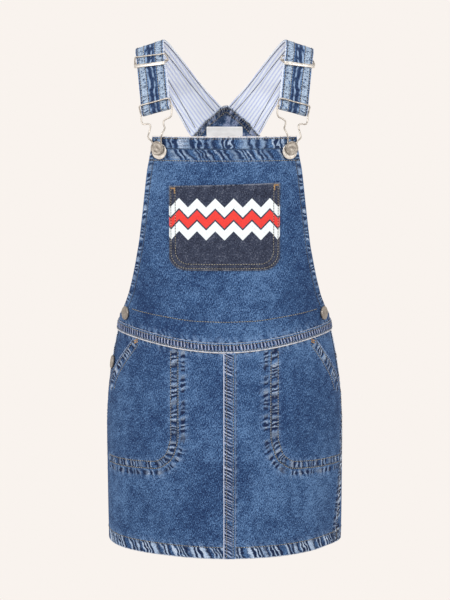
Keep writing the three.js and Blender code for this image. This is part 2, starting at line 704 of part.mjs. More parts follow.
// The wire hook that joins a strap to its bib button, with the bar that the strap turns round.
function hook(side) {
  const { stations } = strapStations(side);
  const end = stations[stations.length - 1];
  const origin = end.point.clone().addScaledVector(end.normal, -BAR_IN);
  const across = end.edge;
  const button = buttonFrame(side, across);
  const down = placeIn(button, 0, 0, KEYHOLE.height).sub(origin).normalize();
  const onStrap = { origin, across, down: end.along, out: end.normal };
  const frame = { origin, across, down, out: down.clone().cross(across).multiplyScalar(side) };
  const half = (way) => [
    ...HOOK_ON_STRAP.map((p) => placeIn(onStrap, way * p.across, p.down, p.out)),
    ...HOOK_WIRE.map((p) => placeIn(frame, way * p.across, p.down, p.out)),
    ...HOOK_NECK.map((p) => placeIn(button, way * p.across, -p.up, KEYHOLE.height + p.out)),
  ];
  const reach = HOOK_WIRE[0].across;
  return joined([
    wire([...half(-1).reverse(), ...half(1).slice(1)], HOOK_RADIUS, WIRE_STEPS.hook),
    wire([-reach, 0, reach].map((x) => placeIn(frame, x, 0, 0)), SLIDER.post, WIRE_STEPS.straight),
    keyholePlate(button),
  ]);
}

// A button as a turned profile: radius and height above the cloth, ending with the cap's rim and dished face.
function buttonGeometry(stem, capAt) {
  const { radius, thickness, rim, dish } = BUTTON_CAP;
  const cap = [
    [radius - 0.9, capAt],
    [radius, capAt + 0.9],
    [radius, capAt + thickness - 0.7],
    [radius - 0.6, capAt + thickness],
    [radius - rim, capAt + thickness],
    [radius - rim - 0.6, capAt + thickness - dish],
    [0, capAt + thickness - dish + 0.2],
  ];
  const profile = [[0, 0], ...stem, ...cap].map(([r, h]) => new THREE.Vector2(r, h));
  return new THREE.LatheGeometry(profile, 18);
}

function onCloth(geometry, origin, out) {
  const turn = new THREE.Quaternion().setFromUnitVectors(new THREE.Vector3(0, 1, 0), out);
  return geometry.applyQuaternion(turn).translate(...origin.toArray());
}

function bibButton(side) {
  const { foot, footHeight, neck, capAt } = BIB_BUTTON;
  const stem = [
    [foot, 0],
    [foot, footHeight],
    [neck, footHeight],
    [neck, capAt],
  ];
  const frame = buttonFrame(side, new THREE.Vector3(side, 0, 0));
  return onCloth(buttonGeometry(stem, capAt), frame.origin, frame.out);
}

function sideButton({ angle, z, onto }) {
  return onCloth(buttonGeometry([], 0), clothPoint(angle, z, onto + GAP), formNormal(angle, z));
}

const finishes = {
  denim: { color: COLOURS.denim, roughness: 0.9, metalness: 0 },
  navy: { color: COLOURS.navy, roughness: 0.85, metalness: 0 },
  lining: { color: COLOURS.lining, roughness: 0.85, metalness: 0 },
  label: { color: COLOURS.label, roughness: 0.6, metalness: 0 },
  metal: { color: COLOURS.metal, roughness: 0.35, metalness: 1 },
};

const dress = new THREE.Group();

function add(name, geometry, finish) {
  const mesh = new THREE.Mesh(geometry, new THREE.MeshStandardMaterial(finishes[finish]));
  mesh.name = name;
  dress.add(mesh);
}

add("bib", bib(), "denim");
add("chest_pocket", chestPocket(), "navy");
add("back", back(), "denim");
add("yoke_facing", yokeFacing(), "denim");
add("yoke_label", yokeLabel(), "label");
add("waist_strip_front", waistStrip(-90, 90), "denim");
add("waist_strip_back", waistStrip(90, 270), "denim");
add("centre_front_seam", centreSeam(), "denim");
add("skirt_back", skirtBack(), "denim");
for (const [hand, side] of [
  ["left", -1],
  ["right", 1],
]) {
  add(`skirt_front_${hand}`, skirtFront(side), "denim");
  add(`hip_pocket_${hand}`, hipPocket(side), "denim");
  add(`strap_lining_${hand}`, strapLayer(side, 0, LINING), "lining");
  add(`strap_${hand}`, strapLayer(side, LINING + GAP, strapThickness), "denim");
  add(`slider_${hand}`, slider(side), "metal");
  add(`hook_${hand}`, hook(side), "metal");
  add(`bib_button_${hand}`, bibButton(side), "metal");
}
for (const button of SIDE_BUTTONS) add(button.name, sideButton(button), "metal");

export default dress;
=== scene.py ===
import math

import bpy
import numpy as np
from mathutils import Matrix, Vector
from mathutils.bvhtree import BVHTree


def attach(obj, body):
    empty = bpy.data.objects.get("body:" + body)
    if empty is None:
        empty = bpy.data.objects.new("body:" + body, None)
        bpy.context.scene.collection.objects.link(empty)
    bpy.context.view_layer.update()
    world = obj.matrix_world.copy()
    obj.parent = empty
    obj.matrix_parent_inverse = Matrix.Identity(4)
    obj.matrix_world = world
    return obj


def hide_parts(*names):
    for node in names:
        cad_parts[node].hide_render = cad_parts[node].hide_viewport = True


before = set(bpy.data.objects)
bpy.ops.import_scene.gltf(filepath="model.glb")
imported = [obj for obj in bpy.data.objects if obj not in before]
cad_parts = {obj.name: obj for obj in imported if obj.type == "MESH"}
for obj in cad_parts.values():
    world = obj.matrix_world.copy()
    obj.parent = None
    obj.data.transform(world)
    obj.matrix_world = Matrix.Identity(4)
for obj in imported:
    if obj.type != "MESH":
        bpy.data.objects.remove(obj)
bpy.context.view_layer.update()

# The view. The dress is seen from the front, from about two metres away, by a camera level with the shoulders
# and tipped down at it. The colours are shown as they are measured, with no film curve.
MM = 0.001
CAMERA_AWAY = 2200 * MM
CAMERA_SIDE = 0.6 * MM
CAMERA_UP = 6 * MM
CAMERA_TILT = 8.6
CAMERA_LENS = 104.3
camera_data = bpy.data.cameras.new("camera")
camera_data.lens = CAMERA_LENS
camera_data.sensor_width = 36
camera_data.clip_end = 50
camera = bpy.data.objects.new("camera", camera_data)
camera.location = (CAMERA_SIDE, -CAMERA_AWAY, CAMERA_UP)
camera.rotation_euler = (math.radians(90 - CAMERA_TILT), 0, 0)
bpy.context.scene.collection.objects.link(camera)
bpy.context.scene.camera = camera
bpy.context.scene.view_settings.view_transform = "Standard"

# The bib, the front of the bodice. One piece of stone-washed twill on the rounded form of the chest, 1.2 mm
# thick, with a 29 mm hem turned in at the top and narrow hems down the armholes. Everything sewn to the dress
# lies on the same form, so the form is worked out here first: rings from the shoulders to the hem, in mm.
DENIM = 1.2
LINING = 0.9
GAP = 0.3
TURNED = 1.2
HEM_RAMP = 3
BIB_TOP = -114
BIB_HEM = 29
SKIRT_BOTTOM = -637
SKIRT_HEM = 15
WAIST_SIDE = -363
WAIST_DIP = 15
WAIST_STRIP = 12
# level, half the width, depth of the front, depth of the back, squareness of the ring
RING_ROWS = np.array([
    (-60, 134, 80, 80, 2.2),
    (-110, 134, 84, 85, 2.2),
    (-200, 132, 88, 88, 2.15),
    (-270, 130, 91, 86, 2.1),
    (-320, 130.5, 94, 86, 2.0),
    (-360, 135, 96, 89, 1.95),
    (-390, 141, 98, 95, 1.9),
    (-430, 147.2, 101, 102, 1.85),
    (-480, 150.5, 104, 106, 1.85),
    (-540, 150.5, 105, 106, 1.85),
    (-600, 150, 105, 105, 1.9),
    (-640, 149.5, 105, 104, 1.93),
])
# soft vertical folds: angle round the ring, half the spread, top level, depth at the hem
FOLD_ROWS = [
    (-128, 13, -400, 3.5),
    (-152, 12, -420, -4),
    (-62, 15, -460, 2),
    (-30, 14, -480, -1.5),
    (26, 16, -470, 1.5),
    (62, 9, -430, -2),
    (82, 10, -430, 1.5),
    (131, 13, -410, 4),
    (157, 12, -400, -3.5),
    (180, 12, -430, 4),
]
# soft creases: from this angle and level, to this angle and level, depth, half the width
CREASE_ROWS = [
    (-44, -140, -30, -172, -0.7, 7),
    (43, -141, 29, -170, -0.6, 6),
    (-52, -262, -30, -290, 0.8, 8),
    (54, -250, 33, -286, -0.8, 8),
    (-40, -300, 10, -312, -0.7, 9),
    (12, -298, 46, -308, 0.6, 8),
    (-66, -318, -48, -300, -0.9, 6),
    (68, -320, 50, -304, -0.8, 6),
    (-18, -395, -10, -452, -0.7, 8),
    (7, -392, 14, -440, 0.6, 7),
    (24, -398, 20, -470, -0.8, 7),
    (-27, -400, -24, -498, 0.7, 8),
    (-44, -440, -30, -492, -0.9, 9),
    (42, -425, 33, -480, 0.9, 9),
    (-58, -470, -36, -505, 0.8, 8),
    (60, -462, 40, -508, -1.0, 8),
    (-8, -520, 6, -590, -0.8, 12),
    (-40, -548, -28, -612, 1.1, 11),
    (36, -545, 44, -606, -1.1, 10),
    (20, -560, 14, -622, 0.8, 9),
    (-72, -520, -66, -600, -1.0, 9),
    (74, -530, 70, -610, 1.0, 8),
    (118, -370, 128, -450, -1.2, 9),
    (150, -372, 144, -430, 0.9, 9),
    (178, -366, 172, -452, -1.0, 10),
    (206, -370, 214, -442, 1.0, 9),
    (238, -372, 229, -455, -1.2, 9),
    (158, -200, 176, -262, -0.8, 11),
    (200, -230, 184, -285, 0.8, 10),
    (128, -312, 150, -330, -0.9, 8),
    (232, -310, 208, -332, 0.9, 8),
]


def along_table(levels, values, at):
    """The value at each place of a table whose levels fall, smoothly between its rows."""
    at = np.clip(np.asarray(at, float), levels[-1], levels[0])
    slopes = np.zeros(len(levels))
    slopes[1:-1] = (values[2:] - values[:-2]) / (levels[2:] - levels[:-2])
    i = np.clip(np.searchsorted(-levels, -at, side="right") - 1, 0, len(levels) - 2)
    span = levels[i + 1] - levels[i]
    t = (at - levels[i]) / span
    rise = t * t * (3 - 2 * t)
    bend = (t**3 - 2 * t * t + t) * slopes[i] + (t**3 - t * t) * slopes[i + 1]
    return values[i] * (1 - rise) + values[i + 1] * rise + bend * span


def ring(column, z):
    return along_table(RING_ROWS[:, 0], RING_ROWS[:, column], z)


def ease(value, start, end):
    t = np.clip((value - start) / (end - start), 0, 1)
    return t * t * (3 - 2 * t)


def creases(angle, z):
    """How far the soft creases of the worn cloth stand out at each place, in mm."""
    out = np.zeros(np.broadcast(angle, z).shape)
    mm_per_degree = 2.3
    for angle_a, z_a, angle_b, z_b, depth, spread in CREASE_ROWS:
        run = np.array([(angle_b - angle_a) * mm_per_degree, z_b - z_a])
        turn = np.mod(angle - angle_a + 180, 360) - 180
        far = np.stack([turn * mm_per_degree, z - z_a], -1)
        share = np.clip(far @ run / (run @ run), 0, 1)
        across = np.linalg.norm(far - share[..., None] * run, axis=-1)
        taper = 0.35 + 0.65 * np.sin(math.pi * share)
        out += depth * taper * np.exp(-((across / spread) ** 2))
    return out


def form(angle, z):
    """Points of the form that the inner face of the cloth lies on, in mm."""
    angle, z = np.broadcast_arrays(np.asarray(angle, float), np.asarray(z, float))
    half_width = ring(1, z)
    power = 2 / ring(4, z)
    sine, cosine = np.sin(np.radians(angle)), np.cos(np.radians(angle))
    depth = np.where(cosine >= 0, ring(2, z), ring(3, z))
    x = half_width * np.sign(sine) * np.abs(sine) ** power
    y = -depth * np.sign(cosine) * np.abs(cosine) ** power
    out = np.stack([x / half_width**2, y / depth**2], -1)
    out /= np.linalg.norm(out, axis=-1, keepdims=True)
    lift = creases(angle, z)
    for fold, spread, top, amount in FOLD_ROWS:
        turn = np.mod(angle - fold + 180, 360) - 180
        lift = lift + amount * np.exp(-((turn / spread) ** 2)) * ease(z, top, SKIRT_BOTTOM)
    return np.stack([x + out[..., 0] * lift, y + out[..., 1] * lift, z], -1)


def form_normal(angle, z):
    around = form(angle + 0.5, z) - form(angle - 0.5, z)
    up = form(angle, z + 1) - form(angle, z - 1)
    normal = np.cross(around, up)
    return normal / np.linalg.norm(normal, axis=-1, keepdims=True)


def on_form(angle, z, offset):
    return form(angle, z) + form_normal(angle, z) * np.asarray(offset)[..., None]


def angle_at(x, z):
    """The angle, from 0 to 90, at which the ring at a level is this far from the middle."""
    share = np.minimum(1, np.asarray(x, float) / ring(1, z))
    return np.degrees(np.arcsin(share ** (ring(4, z) / 2)))


def waist_low(angle):
    return WAIST_SIDE - WAIST_DIP * np.maximum(0, np.cos(np.radians(angle))) ** 3


def waist_middle(angle):
    return waist_low(angle) + WAIST_STRIP / 2


def flat(value):
    return lambda *place: np.full(np.broadcast(*place).shape, float(value))


def ripple(at, pitch, seed):
    """Smooth uneven waves from -1 to 1, about one to each pitch."""
    heights = np.random.default_rng(seed).uniform(-1, 1, 4096)
    place = np.asarray(at) / pitch * 2 + 1000
    i = np.floor(place).astype(int)
    t = place - i
    t = t * t * (3 - 2 * t)
    return heights[i % 4096] * (1 - t) + heights[(i + 1) % 4096] * t


def steps(length, step, fine=()):
    """Shares from 0 to 1, a step apart, and closer between the (from, to, step) stretches given in mm."""
    marks = sorted({0.0, float(length), *(m for a, b, _ in fine for m in (a, b))})
    shares = [0.0]
    for a, b in zip(marks, marks[1:]):
        size = min([step, *(s for lo, hi, s in fine if lo <= (a + b) / 2 <= hi)])
        count = max(1, round((b - a) / size))
        shares += [a + (b - a) * k / count for k in range(1, count + 1)]
    return np.array(shares) / length


def shell(name, outer, inner, layers, material):
    """One closed piece of cloth between two grids of points in mm, with a rounded edge all round. layers holds
    UV layers as grids of (u, v) in metres."""
    rows, columns = outer.shape[:2]
    grid = np.arange(rows * columns).reshape(rows, columns)
    loop = np.concatenate([grid[0, :-1], grid[:-1, -1], grid[-1, :0:-1], grid[:0:-1, 0]])
    inward = np.concatenate([grid[1, :-1], grid[:-1, -2], grid[-2, :0:-1], grid[:0:-1, 1]])
    a, b = outer.reshape(-1, 3), inner.reshape(-1, 3)
    thickness = np.linalg.norm(a[loop] - b[loop], axis=1, keepdims=True)
    push = a[loop] - a[inward]
    push /= np.maximum(np.linalg.norm(push, axis=1, keepdims=True), 1e-6)
    bulge = (a[loop] + b[loop]) / 2 + push * thickness * 0.3
    points = np.concatenate([a, b, bulge])
    count = rows * columns
    quads = np.stack([grid[:-1, :-1], grid[:-1, 1:], grid[1:, 1:], grid[1:, :-1]], -1).reshape(-1, 4)
    nxt = np.roll(loop, -1)
    ring_ids = 2 * count + np.arange(len(loop))
    ring_next = np.roll(ring_ids, -1)
    front_rim = np.stack([loop, ring_ids, ring_next, nxt], -1)
    back_rim = np.stack([ring_ids, loop + count, nxt + count, ring_next], -1)
    faces = np.concatenate([quads, quads[:, ::-1] + count, front_rim, back_rim])
    away = np.einsum("ij,ij->i", np.cross(a[quads[:, 1]] - a[quads[:, 0]], a[quads[:, 3]] - a[quads[:, 0]]),
                     a[quads[:, 0]] - b[quads[:, 0]])
    if away.sum() < 0:
        faces = faces[:, ::-1]
    source = np.concatenate([np.arange(count), np.arange(count), loop])
    return finished(name, points, [faces], {k: v.reshape(-1, 2)[source] for k, v in layers.items()}, material)


def finished(name, points, faces, layers, material):
    """A mesh object from points in mm and arrays of faces, which rides on the dress."""
    mesh = bpy.data.meshes.new(name)
    mesh.vertices.add(len(points))
    mesh.vertices.foreach_set("co", (points * MM).astype(np.float32).ravel())
    corners = np.concatenate([part.ravel() for part in faces])
    sizes = np.concatenate([np.full(len(part), part.shape[1]) for part in faces])
    mesh.loops.add(len(corners))
    mesh.loops.foreach_set("vertex_index", corners.astype(np.int32))
    mesh.polygons.add(len(sizes))
    mesh.polygons.foreach_set("loop_start", (np.cumsum(sizes) - sizes).astype(np.int32))
    mesh.update(calc_edges=True)
    for layer, values in layers.items():
        uv = mesh.uv_layers.new(name=layer)
        uv.data.foreach_set("uv", values[corners].astype(np.float32).ravel())
    mesh.validate()
    mesh.shade_smooth()
    mesh.materials.append(material)
    piece = bpy.data.objects.new(name, mesh)
    bpy.context.scene.collection.objects.link(piece)
    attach(piece, "root")
    return piece


def cloth_area(grid):
    """The flat area of a grid of points in mm, in square metres."""
    one = np.cross(grid[:-1, 1:] - grid[:-1, :-1], grid[1:, :-1] - grid[:-1, :-1])
    two = np.cross(grid[:-1, 1:] - grid[1:, 1:], grid[1:, :-1] - grid[1:, 1:])
    return (np.linalg.norm(one, axis=-1).sum() + np.linalg.norm(two, axis=-1).sum()) / 2 * MM * MM


# in the seam layer every sewn band is stretched to this half width, and its ridges to this pitch, in mm
FADE_BAND = 7.5
BAR_PITCH = 5.0
UNWORN = 1.6  # an edge that nothing rubs counts as this far in, in mm


def roping(along, sine):
    """The ridges and hollows that a wash leaves along a sewn band, from -1 to 1. along is in mm."""
    turn = along * (2 * math.pi / BAR_PITCH)
    wander = sine(turn * 0.31 + 1.3) * 1.9 + sine(turn * 0.137) * 2.3
    return sine(turn + wander) * (sine(turn * 0.19 + 2) * 0.35 + 0.65)


def seam_places(bands, u, v):
    """For each place of a grid, how far along the nearest sewn band it lies and how far to the side of it, in mm,
    and how pale it is. A band is a line of places, half its width, the lean of its ridges, how far apart they
    are, how faint and how pale."""
    best = np.full(u.shape, np.inf)
    along, side, paleness = np.zeros(u.shape), np.full(u.shape, 99.0), np.zeros(u.shape)
    start = 0.0
    for points, half_width, lean, pitch, faint, pale in bands:
        stretch = BAR_PITCH / pitch
        for p, q in zip(points[:-1], points[1:]):
            run = q - p
            length = np.hypot(*run)
            du, dv = u - p[0], v - p[1]
            t = np.clip((du * run[0] + dv * run[1]) / length**2, 0, 1)
            far = np.hypot(du - t * run[0], dv - t * run[1])
            way = np.where(run[0] * dv - run[1] * du >= 0, 1.0, -1.0)
            nearer = far / half_width < best - 1e-9
            best = np.where(nearer, far / half_width, best)
            along = np.where(nearer, start + stretch * (t * length + lean * way * far), along)
            side = np.where(nearer, (far / half_width + faint) * FADE_BAND, side)
            paleness = np.where(nearer, pale, paleness)
            start += length * stretch
        start += 97
    return along, side, paleness


def panel(name, left, right, bottom, top, across, up, inner, outer, material, sewn=None, pucker=None,
          wear=(0.6, 0.6, 0.6, 0.6)):
    """A cut piece of cloth on the form. left and right are its edges as angles at a level, bottom and top its
    ends as levels at an angle. sewn(cut) gives its sewn bands, pucker(cut) the relief of its face, and wear how
    rubbed its left, right, bottom and top edges are, each as a number or as a function of the level."""
    level = bottom(np.zeros(1))[0] * (1 - up) + top(np.zeros(1))[0] * up
    a, b = left(level), right(level)
    for _ in range(6):
        a = left(bottom(a) * (1 - up) + top(a) * up)
        b = right(bottom(b) * (1 - up) + top(b) * up)
    angle = a[:, None] * (1 - across) + b[:, None] * across
    z = bottom(angle) * (1 - up[:, None]) + top(angle) * up[:, None]
    face = on_form(angle, z, outer(angle, z))
    widths = np.linalg.norm(np.diff(face, axis=1), axis=-1)
    u = np.concatenate([np.zeros((len(up), 1)), np.cumsum(widths, 1)], 1)
    middle = np.abs(angle - (0 if abs(angle.mean()) < 100 else 180)).argmin(1)
    u = u - u[np.arange(len(up)), middle][:, None]
    cut = {"u": u, "v": z, "angle": angle, "face": face}
    along, side, paleness = seam_places(sewn(cut) if sewn else (), u, z)
    cut["along"], cut["side"] = along, side
    if pucker:
        face = on_form(angle, z, outer(angle, z) + pucker(cut))
    edges = (u - u[:, :1], u[:, -1:] - u, z - z[:1], z[-1:] - z)
    wear = [np.maximum(rubbed(z) if callable(rubbed) else rubbed, 0.01) for rubbed in wear]
    to_edge = np.minimum.reduce([
        far / rubbed + np.maximum(0, 1 - rubbed) * UNWORN for far, rubbed in zip(edges, wear)
    ])
    layers = {
        "cut": np.stack([u, z], -1) * MM,
        "seam": np.stack([along, side], -1) * MM,
        "edge": np.stack([to_edge * MM, paleness], -1),
    }
    piece = shell(name, face, on_form(angle, z, inner(angle, z)), layers, material)
    return piece, cut


def on_cut(cut, x_and_z):
    """Places on the flat cut for (x, z) places of the worn dress, seen from the front or the back."""
    places = []
    for x, z in x_and_z:
        angle = np.sign(x) * angle_at(abs(x), z)
        if abs(cut["angle"].mean()) > 100:
            angle = 180 - angle
        far = np.hypot((cut["angle"] - angle) * 2.3, cut["v"] - z)
        r, c = np.unravel_index(far.argmin(), far.shape)
        step = 1 if c == 0 else -1
        slope = (cut["u"][r, c + step] - cut["u"][r, c]) / (cut["angle"][r, c + step] - cut["angle"][r, c])
        places.append((cut["u"][r, c] + slope * (angle - cut["angle"][r, c]), z))
    return np.array(places)


class Socket:
    """A node's output, with arithmetic. An expression on sockets adds its Math nodes."""

    def __init__(self, paint, link):
        self.paint, self.link = paint, link

    def math(self, operation, *others):
        values = {i: v for i, v in enumerate((self, *others))}
        return self.paint.node("Math", {"operation": operation}, values)

    def __add__(self, other): return self.math("ADD", other)
    def __radd__(self, other): return self.math("ADD", other)
    def __sub__(self, other): return self.math("SUBTRACT", other)
    def __rsub__(self, other): return self.paint.number("SUBTRACT", other, self)
    def __mul__(self, other): return self.math("MULTIPLY", other)
    def __rmul__(self, other): return self.math("MULTIPLY", other)
    def __truediv__(self, other): return self.math("DIVIDE", other)
    def __rtruediv__(self, other): return self.paint.number("DIVIDE", other, self)
    def __pow__(self, other): return self.math("POWER", other)
    def __neg__(self): return self.math("MULTIPLY", -1)
    def __abs__(self): return self.math("ABSOLUTE")
    def __gt__(self, other): return self.math("GREATER_THAN", other)
    def __lt__(self, other): return self.math("LESS_THAN", other)


class Paint:
    """A material and its nodes."""

    def __init__(self, name, **shader):
        self.material = bpy.data.materials.new(name)
        self.material.use_nodes = True
        self.tree = self.material.node_tree
        self.shader = self.tree.nodes["Principled BSDF"]
        for socket, value in shader.items():
            self.shader.inputs[socket.replace("_", " ").title().replace("Ior", "IOR")].default_value = value

    def node(self, kind, settings=None, values=None, output=0):
        """Makes one node: its settings first, a ramp's stops among them, then its sockets' values or links."""
        node = self.tree.nodes.new("ShaderNode" + kind)
        for key, value in (settings or {}).items():
            if key == "stops":
                ramp = node.color_ramp.elements
                while len(ramp) < len(value):
                    ramp.new(1)
                for element, (place, colour) in zip(ramp, value):
                    element.position, element.color = place, (*colour, 1)
            else:
                setattr(node, key, value)
        for key, value in (values or {}).items():
            by_name = [s for s in node.inputs if key in (s.identifier, s.name) and s.enabled]
            socket = node.inputs[key] if isinstance(key, int) else by_name[0]
            if isinstance(value, Socket):
                self.tree.links.new(value.link, socket)
            else:
                socket.default_value = value
        if isinstance(output, str):
            return Socket(self, next(s for s in node.outputs if output in (s.identifier, s.name)))
        return Socket(self, node.outputs[output])

    def number(self, operation, a, b):
        return self.node("Math", {"operation": operation}, {0: a, 1: b})

    def sine(self, value):
        return self.node("Math", {"operation": "SINE"}, {0: value})

    def uv(self, layer):
        vector = self.node("UVMap", {"uv_map": layer})
        parts = [self.node("SeparateXYZ", None, {"Vector": vector}, axis) for axis in "XY"]
        return vector, *parts

    def point(self, x, y, z=0.0):
        return self.node("CombineXYZ", None, {"X": x, "Y": y, "Z": z})

    def noise(self, vector, scale, detail=2.0, rough=0.5):
        values = {"Vector": vector, "Scale": scale, "Detail": detail, "Roughness": rough}
        return self.node("TexNoise", {"noise_dimensions": "3D"}, values, "Fac")

    def smooth(self, value, start, end):
        """0 before start, 1 after end, and smooth between them."""
        return self.node("MapRange", {"interpolation_type": "SMOOTHSTEP"},
                         {"Value": value, "From Min": start, "From Max": end})

    def mix(self, share, a, b):
        colours = {"A_Color": a, "B_Color": b}
        for key, colour in colours.items():
            if not isinstance(colour, Socket):
                colours[key] = (*colour, 1)
        return self.node("Mix", {"data_type": "RGBA"}, {"Factor_Float": share, **colours}, "Result_Color")

    def out(self, **links):
        for socket, value in links.items():
            self.tree.links.new(value.link, self.shader.inputs[socket.replace("_", " ")])
        return self.material

    def bump(self, height, depth, strength=1.0):
        return self.node("Bump", None, {"Height": height, "Distance": depth, "Strength": strength}, "Normal")


def colour(red, green, blue):
    """A colour seen on a screen, from 0 to 255, as light."""
    return tuple(((c / 255 + 0.055) / 1.055) ** 2.4 if c > 10 else c / 255 / 12.92 for c in (red, green, blue))


BLUE_DEEP = colour(22, 42, 80)
BLUE = colour(49, 79, 120)
BLUE_WORN = colour(94, 126, 167)
BLUE_PALE = colour(150, 175, 206)
BLUE_WHITE = colour(198, 208, 224)
# deep blue: dye left in the roping's hollows and in the yoke facing's darker clouds, and also painted shade in those
# hollows and down the strap's middle channel
BLUE_DEEP_DYE_AND_SHADE = colour(18, 32, 64)
BLUE_HALO = colour(122, 150, 188)


def denim(name, worn=0.5, pale=0.8, deep=0.85, rubbed=0.8, even=0.0, bars=BLUE_PALE, white=BLUE_WHITE,
          folds=BLUE_WHITE, finish=None):
    """Stone-washed twill. Its colour follows slubs in the warp, clouds of wear, the roping that a wash leaves along
    sewn bands, with pale bars rubbed on the ridges and deep blue beside them, and rubbed edges. The deep blue is partly
    dye that the wash left in the hollows and partly painted shade, set a little way along from each ridge on the side
    away from the light."""
    paint = Paint(name, roughness=0.92, specular_ior_level=0.2)
    _, u, v = paint.uv("cut")
    _, along, side = paint.uv("seam")
    _, to_edge, paleness = paint.uv("edge")
    band = FADE_BAND * MM
    slubs = paint.noise(paint.point(u * 1500, v * 300, 0.0), 1.0, 1.0)
    speckle = paint.noise(paint.point(u * 980 + v * 330, v * 620, 3.0), 1.0, 1.0)
    clouds = paint.noise(paint.point(u * 90, v * 70, 7.0), 1.0, 4.0, 0.65)
    broad = paint.noise(paint.point(u * 14, v * 10, 1.0), 1.0, 2.0, 0.5)
    fade = slubs * 1.0 + speckle * 1.2 + clouds * 0.6 + broad * 0.55 - 1.675 + (worn - 0.5) * 0.3
    base = paint.mix(paint.smooth(fade, -0.22, 0.0), BLUE_DEEP, BLUE)
    base = paint.mix(paint.smooth(fade, 0.0, 0.22), base, BLUE_WORN)
    grain = paint.smooth(speckle, 0.35, 0.65)
    ragged = paint.noise(paint.point(along * 330, side * 260, 5.0), 1.0, 2.0)
    lengthwise = paint.noise(paint.point(along * 90, side * 170, 2.0), 1.0, 1.0)
    crooked = paint.noise(paint.point(u * 110, v * 110, 9.0), 1.0, 2.0) - 0.5
    aside = side + (ragged - 0.5) * (0.9 * band)
    near = paint.smooth(aside, 1.2 * band, 0.8 * band)
    halo = paint.smooth(aside, 2.3 * band, 1.0 * band)
    frayed = ragged * 1.3 - 0.65
    bent = along + crooked * (BAR_PITCH * MM * (1.3 - 0.9 * even))
    straight = bent * (2 * math.pi / (BAR_PITCH * MM))
    ridge = roping(bent * (1 / MM), paint.sine) * (1 - even) + paint.sine(straight) * even + frayed
    # painted shade: the same ridges moved a little way along, so deep blue falls on the side of each ridge away from
    # the light
    shaded_side = roping(bent * (1 / MM) - BAR_PITCH * 0.36, paint.sine) * (1 - even)
    shaded_side = shaded_side + paint.sine(straight - 2.4) * even + frayed
    dye_and_shade_patch = paint.smooth(shaded_side, -0.4, 0.35) * paint.smooth(lengthwise, 0.22, 0.4)
    pale_bar = paint.smooth(ridge, -0.2, 0.6) * paint.smooth(lengthwise, 0.82, 0.54) * paleness
    peak = paint.smooth(ridge, 0.55, 1.05) * grain * paleness
    # deep blue in the hollows of the roping: partly dye left by the wash, partly painted shade
    base = paint.mix(near * dye_and_shade_patch * deep, base, BLUE_DEEP_DYE_AND_SHADE)
    base = paint.mix(near * pale_bar * (0.55 + grain * 0.45) * pale, base, bars)
    base = paint.mix(near * peak * pale, base, white)
    outside = halo * (1 - near) * paint.smooth(ridge, -0.4, 0.8)
    base = paint.mix(outside * (0.3 + grain * 0.7) * 0.75, base, BLUE_HALO)
    if finish:
        base = finish(paint, base, u, v, ragged, grain)
    broken = paint.smooth(ragged * 0.5 + speckle * 0.5, 0.62 - 0.3 * rubbed, 0.8 - 0.3 * rubbed)
    worn_edge = paint.smooth(to_edge, 1.5 * MM, 0.7 * MM) * broken
    base = paint.mix(worn_edge * 0.95, base, folds)
    height = slubs * 0.5 + speckle * 0.7 + near * (pale_bar - dye_and_shade_patch) * 1.4
    return paint.out(Base_Color=base, Normal=paint.bump(height, 0.0004), Roughness=0.84 + speckle * 0.14)


bib_edge_rows = np.array([
    (-114, 88), (-155, 94.5), (-211, 101), (-249, 106), (-288, 113.5), (-308, 118.5), (-320, 122.3), (-329, 125.5),
    (-336, 128.3), (-341, 130.6), (-345, 134),
])
SIDE_GAP = 0.2


def bib_edge(z):
    width = along_table(bib_edge_rows[:, 0], bib_edge_rows[:, 1], z)
    return np.minimum(90 - SIDE_GAP / 2, angle_at(width, z))


BIB_HEM_LINE = BIB_TOP - BIB_HEM
ARMHOLE_HEM = 7
WAIST_HALO = (7.5, 0.4, 9.0, 0.1, 1)  # a sewn band under the waist strip, whose pale halo shows beside it


def grid_line(cut, row=None, column=None):
    """A row or a column of a cut as places on it."""
    pick = (row, slice(None)) if column is None else (slice(None), column)
    return np.stack([cut["u"][pick], cut["v"][pick]], -1)


def bib_sewn(cut):
    left, right = grid_line(cut, column=0)[::6], grid_line(cut, column=-1)[::6]
    top = grid_line(cut, row=-1)[::6]
    inset = np.array([ARMHOLE_HEM / 2, 0])
    return [
        (left + inset, 4.2, 0.3, 7.0, 0.5, 1), (right - inset, 4.2, -0.3, 7.0, 0.5, 1),
        (top - np.array([0, 8.2]), 7.2, 0.1, 10.5, 0, 1), (top - np.array([0, 21.5]), 7.2, 0.67, 8.0, 0.2, 0.8),
        (grid_line(cut, row=0)[::6], *WAIST_HALO),
    ]


def roped(size=0.45, reach=7.0):
    """Relief along sewn lines: the uneven ridges that a wash leaves where two layers shrink together."""
    def relief(cut):
        near = np.exp(-((cut["side"] / reach) ** 4))
        return size * near * (roping(cut["along"], np.sin) + 0.5 * ripple(cut["along"], 2.3 * BAR_PITCH, 2))
    return relief


bib_blue = denim("denim_bib", worn=0.38, rubbed=1.1, folds=colour(214, 208, 204))
bib, bib_cut = panel(
    "bib_cloth", lambda z: -bib_edge(z), bib_edge,
    lambda angle: waist_middle(angle) + GAP / 2, flat(BIB_TOP),
    steps(270, 2.0), steps(245, 2.0, [(214, 245, 1.5)]),
    lambda angle, z: -TURNED * ease(z, BIB_HEM_LINE - HEM_RAMP, BIB_HEM_LINE), flat(DENIM),
    bib_blue, bib_sewn, roped(0.35), wear=(0.35, 0.35, 0.3, 0.8),
)
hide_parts("bib")
cloth_area(bib_cut["face"])

# The sewing on the bib. Tan thread in lockstitch, 3 mm long, along both edges of the top hem, down the armholes
# and across the bib above the waist, where the inside facing ends.
TAN = colour(204, 194, 170)
NAVY_THREAD = colour(44, 52, 74)
